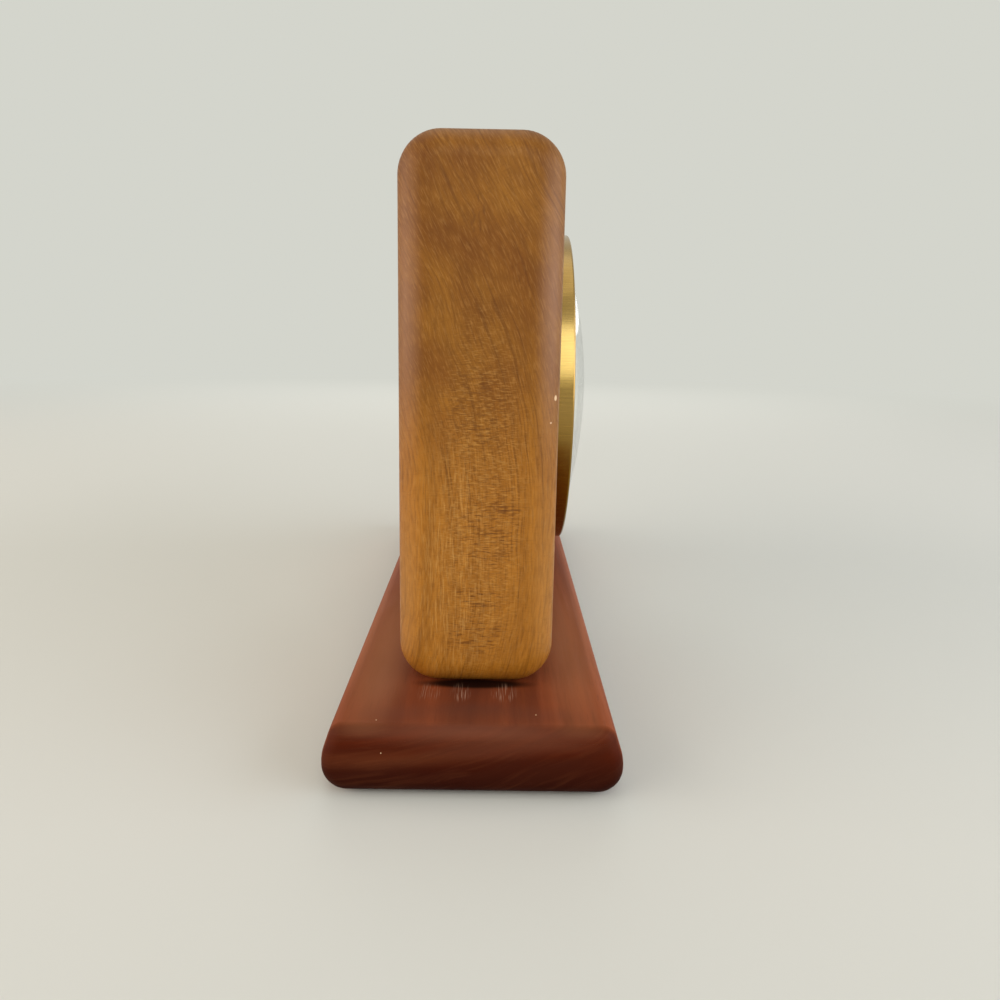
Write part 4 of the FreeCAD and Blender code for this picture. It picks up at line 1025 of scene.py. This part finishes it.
# Wooden case
@dataclass
class WoodenBlock(Assembly):
    """The block that holds the clock, with its long edges and its ends rounded over."""

    edge_radius: float = 10.0 * MM
    end_radius: float = 7.0 * MM
    bore_radius: float = 45.6 * MM
    rebate_radius: float = 48.9 * MM
    mouth: float = 0.6 * MM
    overrun: float = 0.4 * MM
    round_steps: int = 14
    bore_sides: int = 192

    def build(self) -> None:
        """Models the block."""
        low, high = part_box("case_block")
        rebate_depth = high.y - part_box("clamp_ring")[0].y
        back = (self.centre.x, high.y, self.centre.z)
        piece = rounded_bar("wooden_block", low, high, self.end_radius)
        pick(piece, "EDGE", lambda ends, heading: abs(heading.x) > ALONG)
        bpy.ops.mesh.bevel(offset=self.edge_radius, segments=self.round_steps, affect="EDGES")
        leave_edit()
        round_ends(piece, self.end_radius, self.round_steps)
        for radius, depth in (
            (self.bore_radius, high.y - low.y + 2 * MM), (self.rebate_radius, rebate_depth),
        ):
            cut_away(piece, begin(
                bpy.ops.mesh.primitive_cylinder_add, "cutter", vertices=self.bore_sides,
                radius=radius, depth=2 * depth, location=back, rotation=SIDEWAYS,
            ))
        reach = self.mouth + self.overrun
        edge = self.rebate_radius + self.mouth
        cut_away(piece, begin(
            bpy.ops.mesh.primitive_cone_add, "cutter", vertices=self.bore_sides,
            radius1=edge + reach, radius2=edge - reach, depth=2 * reach, location=back,
            rotation=SIDEWAYS,
        ))
        even_out(close_up(piece, 40.0))
        self.settle(piece, "block", "case_block")


@dataclass
class WoodenFoot(Assembly):
    """The foot: a thick board with full flanks that lean in above the middle."""

    lower_radius: float = 5.9 * MM
    flank_start: float = 8.4 * MM
    flank_lean: float = 2.6 * MM
    flank_radius: float = 11.0 * MM
    upper_radius: float = 3.2 * MM
    end_radius: float = 3.0 * MM
    round_steps: int = 12

    def build(self) -> None:
        """Models the foot."""
        low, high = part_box("foot")
        piece = rounded_bar("wooden_foot", low, high, self.end_radius)
        flank = low.z + self.flank_start
        open_all()
        bpy.ops.mesh.bisect(plane_co=(0.0, 0.0, flank), plane_no=(0.0, 0.0, 1.0))
        leave_edit()
        pick(piece, "FACE", lambda corners, heading: heading.z > ALONG)
        bpy.ops.transform.resize(value=(1.0, 1 - self.flank_lean / high.y, 1.0))
        leave_edit()
        lean = math.atan2(self.flank_lean, high.z - flank)
        for height, radius, turn in (
            (flank, self.flank_radius, lean),
            (low.z, self.lower_radius, math.pi / 2),
            (high.z, self.upper_radius, math.pi / 2 - lean),
        ):
            self.round_edges(piece, height, radius * math.tan(turn / 2))
        round_ends(piece, self.end_radius, self.round_steps)
        even_out(close_up(piece, 40.0))
        self.settle(piece, "foot", "foot")

    def round_edges(self, piece: Object, height: float, offset: float) -> None:
        """Rounds the two long edges at one height.

        Args:
            piece: the foot so far
            height: the height of the edges
            offset: how far the rounding reaches along each face
        """
        pick(
            piece, "EDGE",
            lambda ends, heading: abs(heading.x) > ALONG
            and abs(ends[0].z - height) < 0.01 * MM and abs(ends[0].y) > offset,
        )
        bpy.ops.mesh.bevel(offset=offset, segments=self.round_steps, affect="EDGES")
        leave_edit()


# Bezel, glass and dial
@dataclass
class Front(Assembly):
    """The brass bezel, the domed glass and the ring that seats it."""

    wall: float = 0.9 * MM
    lip_inner_radius: float = 46.8 * MM
    lip_rounding: float = 0.6 * MM
    lip_steps: int = 8
    bezel_sides: int = 256
    glass_thickness: float = 1.6 * MM
    glass_rim_slack: float = 0.5 * MM
    glass_seat: float = 0.3 * MM
    dome_steps: int = 28

    def build(self) -> None:
        """Models the bezel, and the glass inside it."""
        low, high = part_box("bezel")
        radius = (high.x - low.x) / 2
        self.bezel(low.y, high.y, radius)
        self.glass(low.y + self.wall, radius - self.wall - self.glass_rim_slack)

    def bezel(self, front: float, back: float, radius: float) -> None:
        """The brass wall with its rounded lip.

        Args:
            front: the Y of its front
            back: the Y of its back
            radius: its outer radius
        """
        inner = radius - self.wall
        corner = (radius - self.lip_rounding, front + self.lip_rounding)
        profile = [(inner, back), (radius, back)]
        profile += arc_points(corner, self.lip_rounding, 0.0, -math.pi / 2, self.lip_steps)
        profile += [
            (self.lip_inner_radius, front), (self.lip_inner_radius, front + self.wall),
            (inner, front + self.wall),
        ]
        piece = turn_up("brass_bezel", self.centre, profile, segments=self.bezel_sides)
        even_out(close_up(piece))
        self.settle(piece, "bezel", "bezel")

    def glass(self, rim_y: float, rim: float) -> None:
        """The dome with its flat rim, drawn as a sheet and given its thickness.

        Args:
            rim_y: the Y of the rim's front
            rim: the rim's radius
        """
        front_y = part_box("glass")[0].y
        edge = self.lip_inner_radius - self.glass_seat
        rise = rim_y - front_y
        radius = (edge**2 + rise**2) / (2 * rise)
        middle, stop = (0.0, front_y + radius), -math.pi / 2
        inner_radius = radius - self.glass_thickness
        back_y = rim_y + self.glass_thickness
        sheets = []
        for name, y, reach, swing in (
            ("domed_glass", rim_y, radius, math.asin(edge / radius)),
            ("glass_back", back_y, inner_radius, math.acos((middle[1] - back_y) / inner_radius)),
        ):
            dome = arc_points(middle, reach, swing + stop, stop, self.dome_steps)
            profile = [(rim, y)] + dome[:-1] + [(0.0, dome[-1][1])]
            sheets.append(turn_up(name, self.centre, profile, closed=False))
        piece = join_up(sheets, "domed_glass")
        bpy.ops.object.mode_set(mode="EDIT")
        bpy.ops.mesh.select_mode(type="EDGE")
        bpy.ops.mesh.select_all(action="DESELECT")
        bpy.ops.mesh.select_non_manifold()
        bpy.ops.mesh.bridge_edge_loops()
        self.settle(close_up(piece), "glass", "glass")


@dataclass
class DialPrint(Assembly):
    """The printing on the dial: twelve numbers and a minute track with its strokes."""

    ink: float = 0.05 * MM
    number_ring: float = 34.6 * MM
    number_height: float = 8.6 * MM
    track_outer: float = 43.6 * MM
    track_inner: float = 43.3 * MM
    stroke: tuple[float, float] = (0.35 * MM, 2.2 * MM)
    hour_stroke: tuple[float, float] = (1.1 * MM, 3.0 * MM)

    def build(self) -> None:
        """Models the numbers and the minute track."""
        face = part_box("dial")[0].y
        numbers = []
        for hour in range(1, 13):
            spot = beside(self.centre, face - self.ink / 2, self.number_ring, 90 - 30 * hour)
            numbers.append(letter(f"number_{hour}", str(hour), spot, self.number_height, self.ink))
        printed = join_up(numbers, "dial_numbers")
        track = turn_up("minute_track", self.centre, [
            (self.track_outer, face), (self.track_outer, face - self.ink),
            (self.track_inner, face - self.ink), (self.track_inner, face),
        ])
        strokes = [self.strokes(60, *self.stroke, face), self.strokes(12, *self.hour_stroke, face)]
        for piece in (printed, join_up([track, *strokes], "minute_track")):
            self.settle(close_up(piece), "ink")

    def strokes(self, count: int, width: float, length: float, face: float) -> Object:
        """One stroke beside the track, repeated round the dial.

        Args:
            count: how many strokes
            width: the stroke's width
            length: the stroke's length towards the middle
            face: the Y of the dial's face

        Returns:
            All the strokes as one piece.
        """
        rise = self.track_outer - length / 2
        stroke = begin(
            bpy.ops.mesh.primitive_cube_add, "stroke", size=1.0,
            location=(self.centre.x, face - self.ink / 2, self.centre.z + rise),
            scale=(width, self.ink, length),
        )
        apply_place()
        open_all()
        bpy.ops.mesh.spin(
            steps=count, dupli=True, angle=2 * math.pi, center=tuple(self.centre),
            axis=(0.0, 1.0, 0.0), use_auto_merge=False,
        )
        leave_edit()
        return stroke


@dataclass
class CoverMarks(Assembly):
    """The marks printed on the rear cover: which way to turn the key, knob and tail."""

    ink: float = 0.05 * MM
    width: float = 0.9 * MM
    head_width: float = 3.2
    head_length: float = 3.0
    head_tip: float = 0.04
    sweep_steps: int = 24
    dish_depth: float = 1.2 * MM
    knob_arrow: Triple = (10.5 * MM, 140.0, 60.0)
    key_arrow: Triple = (8.5 * MM, 205.0, 125.0)
    sign_height: float = 6.0 * MM
    faster_place: tuple[float, float] = (17.8 * MM, 122.0)
    slower_place: tuple[float, float] = (13.4 * MM, 160.0)

    def build(self) -> None:
        """Models the arrows and the signs."""
        key, knob, wheel = (
            sum(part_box(node), Vector()) / 2 for node in ("winding_key", "set_knob", "balance_wheel")
        )
        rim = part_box("rear_cover")[1].y
        floor = rim - self.dish_depth
        pieces = [
            self.arrow("knob_arrow", Vector((knob.x, floor, knob.z)), *self.knob_arrow),
            self.arrow("key_arrow", Vector((key.x, floor, key.z)), *self.key_arrow),
        ]
        for mark, level, place in (
            (Mark.FASTER, rim, self.faster_place), (Mark.SLOWER, floor, self.slower_place),
        ):
            spot = beside(wheel, level + self.ink / 2, *place)
            name = f"sign_{mark.name.lower()}"
            pieces.append(letter(name, mark.value, spot, self.sign_height, self.ink, math.pi))
        for piece in pieces:
            self.settle(close_up(piece), "ink")

    def arrow(self, name: str, spot: Vector, reach: float, start: float, stop: float) -> Object:
        """A curved arrow: a bar swept round, then widened and drawn to a point.

        Args:
            name: the piece's name
            spot: the centre that it curves round
            reach: its radius
            start: the bearing of its tail, in degrees
            stop: the bearing where its head begins

        Returns:
            The arrow.
        """
        tail, head = math.radians(start), math.radians(stop)
        level = spot.y + self.ink / 2
        piece = begin(
            bpy.ops.mesh.primitive_plane_add, name, size=1.0,
            location=beside(spot, level, reach, start), rotation=(0.0, -tail, 0.0),
        )
        piece.scale = (self.width, self.ink, 1.0)
        apply_place()
        open_all()
        bpy.ops.mesh.spin(
            steps=self.sweep_steps, angle=head - tail, center=tuple(spot), axis=(0.0, 1.0, 0.0)
        )
        end = beside(spot, level, reach, stop)
        extrude((0.0, 0.0, 0.0))
        wide, tip = self.head_width, self.head_tip
        bpy.ops.transform.resize(value=(wide, 1.0, wide), center_override=tuple(end))
        way = math.copysign(self.head_length * self.width, stop - start)
        ahead = Vector((-math.sin(head) * way, 0.0, math.cos(head) * way))
        extrude(ahead)
        bpy.ops.transform.resize(value=(tip, 1.0, tip), center_override=tuple(end + ahead))
        leave_edit()
        return piece


@dataclass
class ClickSpring(Assembly):
    """The click's leaf spring: a bored foot and a strip, modelled straight, which in the clock bends
    as the click lifts.
    """

    foot_radius: float = 1.5 * MM
    bore_radius: float = 0.93 * MM
    foot_sides: int = 48
    strip_thickness: float = 0.3 * MM
    strip_depth: float = 0.9 * MM
    strip_start: float = 1.2 * MM
    tip_inset: tuple[float, float] = (0.14 * MM, 0.055 * MM)
    steps: int = 12

    def build(self) -> None:
        """Models the spring."""
        low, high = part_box("click_spring")
        level = high.y - self.strip_depth / 2
        middle = Vector((high.x - self.foot_radius, level, high.z - self.foot_radius))
        tip = Vector((low.x + self.tip_inset[0], level, low.z + self.tip_inset[1]))
        way = (tip - middle).normalized()
        root = middle + way * self.strip_start
        strip = begin(
            bpy.ops.mesh.primitive_plane_add, "click_leaf_spring", size=1.0, location=root,
            rotation=(0.0, math.atan2(way.x, way.z), 0.0),
        )
        strip.scale = (self.strip_thickness, self.strip_depth, 1.0)
        apply_place()
        open_all()
        for _ in range(self.steps):
            extrude((tip - root) / self.steps)
        leave_edit()
        depth = high.y - low.y
        foot, cutter = (
            begin(
                bpy.ops.mesh.primitive_cylinder_add, name, vertices=self.foot_sides,
                radius=radius, depth=length, rotation=SIDEWAYS,
                location=(middle.x, (low.y + high.y) / 2, middle.z),
            )
            for name, radius, length in (
                ("foot", self.foot_radius, depth), ("cutter", self.bore_radius, 2 * depth),
            )
        )
        cut_away(foot, cutter)
        piece = close_up(join_up([strip, foot], "click_leaf_spring"))
        self.settle(piece, "spring", "click_spring", bend=(root, tip))


class Dresser:
    """Gives the carried-over CAD nodes their finishes."""

    NODES: dict[str, tuple[str, ...]] = {
        "felt": ("felt_pad",),
        "sight_ring": ("sight_ring",),
        "dial": ("dial",),
        "hand": ("hour_hand", "minute_hand"),
        "knob": ("winding_key", "set_knob", "hand_nut"),
        "plate": (
            "front_plate", "back_plate", "minute_wheel", "hour_wheel", "centre_wheel",
            "second_wheel", "third_wheel", "fourth_wheel", "escape_wheel", "barrel",
            "barrel_lid", "balance_wheel", "dial_feet", "frame_pillars", "cover_posts",
            "hairspring_collet",
        ),
        "steel": (
            "foot_screws", "clamp_screws", "cover_screws", "click_post", "click_spring_screw",
            "minute_post", "hairspring_stud", "balance_screws", "hand_arbor", "cannon_pinion",
            "minute_pinion", "centre_pinion", "second_pinion", "third_pinion", "fourth_pinion",
            "escape_pinion", "barrel_arbor", "ratchet_wheel", "click", "pallet_lever",
            "lever_arbor", "balance_staff", "regulator",
        ),
        "spring": ("mainspring", "clutch_spring", "hairspring"),
        "zinc": ("movement_can", "rear_cover", "clamp_ring"),
    }

    def build(self, finishes: Finishes) -> None:
        """Dresses each node that keeps its CAD shape.

        Args:
            finishes: the clock's finishes
        """
        for finish, nodes in self.NODES.items():
            for node in nodes:
                finishes.dress(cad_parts[node], finish)
            log.info("%s: %d nodes", finish, len(nodes))


@dataclass
class Studio:
    """The camera, the lamps, the pale world and the floor."""

    focal_length: float = 31.3
    sensor: float = 36.0
    place: Triple = (-306.1 * MM, -3.74 * MM, 106.8 * MM)
    pitch: float = 0.208
    roll: float = 0.018
    yaw: float = -0.008
    nearest: float = 10.0 * MM
    pale: str = "DEDFD6"
    floor_tone: str = "D8D7CF"
    floor_radius: float = 2.5
    fade: tuple[float, float] = (0.35, 1.3)
    light_level: float = 0.38
    seen_level: float = 0.9

    def build(self) -> None:
        """Sets the view, the light and the ground."""
        self.camera()
        self.world()
        self.floor()
        self.lamp("key", (-1.2, -0.12, 0.8), (0.0, 0.0, 0.08), (0.64, 0.92), 5.0, "EAF6EC")
        self.lamp("top", (0.1, 0.1, 1.2), (0.0, 0.0, 0.0), (0.9, 0.9), 1.8, "FFFFFF")
        self.lamp("left", (-0.42, 0.95, 0.38), (-0.1, 0.0, 0.1), (1.5, 0.8), 10.0, "FFF0E6")
        self.lamp("right", (-0.42, -0.95, 0.38), (-0.1, 0.0, 0.1), (1.5, 0.8), 10.0, "F0F2FF")
        self.lamp("far", (1.1, 0.0, 0.5), (0.1, 0.0, 0.06), (1.2, 0.8), 5.5, "FFFFFF", False)
        bpy.context.scene.view_settings.view_transform = "Standard"

    def camera(self) -> None:
        """Puts the camera where the photograph's was."""
        forward = Vector((
            math.cos(self.pitch) * math.cos(self.yaw), math.cos(self.pitch) * math.sin(self.yaw),
            -math.sin(self.pitch),
        ))
        level = Vector((math.sin(self.yaw), -math.cos(self.yaw), 0.0))
        upright = level.cross(forward)
        right = math.cos(self.roll) * level + math.sin(self.roll) * upright
        up = -math.sin(self.roll) * level + math.cos(self.roll) * upright
        data = bpy.data.cameras.new("camera")
        data.lens = self.focal_length
        data.sensor_width = self.sensor
        data.clip_start = self.nearest
        camera = bpy.data.objects.new("camera", data)
        bpy.context.scene.collection.objects.link(camera)
        turn = Matrix((right, up, -forward)).transposed().to_4x4()
        camera.matrix_world = Matrix.Translation(self.place) @ turn
        bpy.context.scene.camera = camera

    def world(self) -> None:
        """A pale backdrop that the camera, gloss and glass see, and a softer light."""
        world = bpy.data.worlds.new("studio")
        bpy.context.scene.world = world
        graph = Graph(world)
        strength = graph.add(
            "MapRange", (self.looked_at(graph), 0.0, 1.0, self.light_level, self.seen_level)
        )
        backdrop = graph.add("Background", {"Color": self.pale, "Strength": strength})
        graph.add("OutputWorld", {"Surface": backdrop})

    def looked_at(self, graph: Graph) -> Node:
        """1 for what the camera sees, by itself or in gloss and glass, and 0 for light.

        Args:
            graph: the graph of the world or the floor

        Returns:
            The share.
        """
        path = graph.add("LightPath").outputs
        direct = (path["Is Camera Ray"], path["Is Glossy Ray"])
        either = graph.add("Math", direct, operation="MAXIMUM")
        return graph.add("Math", (either, path["Is Transmission Ray"]), operation="MAXIMUM")

    def floor(self) -> None:
        """A round pale floor that fades into the backdrop. It isn't part of the clock."""
        floor = begin(
            bpy.ops.mesh.primitive_circle_add, "studio_floor", vertices=64,
            radius=self.floor_radius, fill_type="NGON", location=(0.0, 0.0, 0.0),
        )
        graph = Graph(bpy.data.materials.new("Paper sweep, matt"))
        paper = graph.add("BsdfPrincipled", {"Base Color": self.floor_tone, "Roughness": 0.9})
        distance = graph.add("VectorMath", (graph.place,), operation="LENGTH")
        fade = graph.add("MapRange", (distance, *self.fade), interpolation_type="SMOOTHSTEP")
        share = graph.add("Math", (fade, self.looked_at(graph)), operation="MULTIPLY")
        backdrop = graph.add("Emission", {"Color": self.pale, "Strength": self.seen_level})
        mix = graph.add("MixShader", (share, paper, backdrop))
        graph.add("OutputMaterial", {"Surface": mix})
        floor.data.materials.append(graph.owner)

    def lamp(
        self, name: str, place: Triple, target: Triple, size: tuple[float, float], power: float,
        tone: str, in_gloss: bool = True,
    ) -> None:
        """Adds one soft lamp.

        Args:
            name: the lamp's name
            place: where it stands
            target: where it looks
            size: its width and height
            power: its power in watts
            tone: its colour as hex
            in_gloss: whether gloss shows it
        """
        data = bpy.data.lights.new(name, "AREA")
        data.shape = "RECTANGLE"
        data.size, data.size_y = size
        data.energy = power
        data.color = linear(tone)[:3]
        lamp = bpy.data.objects.new(name, data)
        lamp.visible_glossy = in_gloss
        bpy.context.scene.collection.objects.link(lamp)
        turn = (Vector(target) - Vector(place)).to_track_quat("-Z", "Y").to_matrix().to_4x4()
        lamp.matrix_world = Matrix.Translation(place) @ turn


def main() -> None:
    """Builds the clock's looks in order."""
    logging.basicConfig(level=logging.INFO, format="%(name)s: %(message)s")
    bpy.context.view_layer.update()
    centre = sum(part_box("bezel"), Vector()) / 2
    finishes = Finishes(centre)
    Dresser().build(finishes)
    for assembly in (WoodenBlock, WoodenFoot, Front, DialPrint, CoverMarks, ClickSpring):
        assembly(finishes, centre).build()
    Studio().build()


if __name__ == "__main__":
    main()
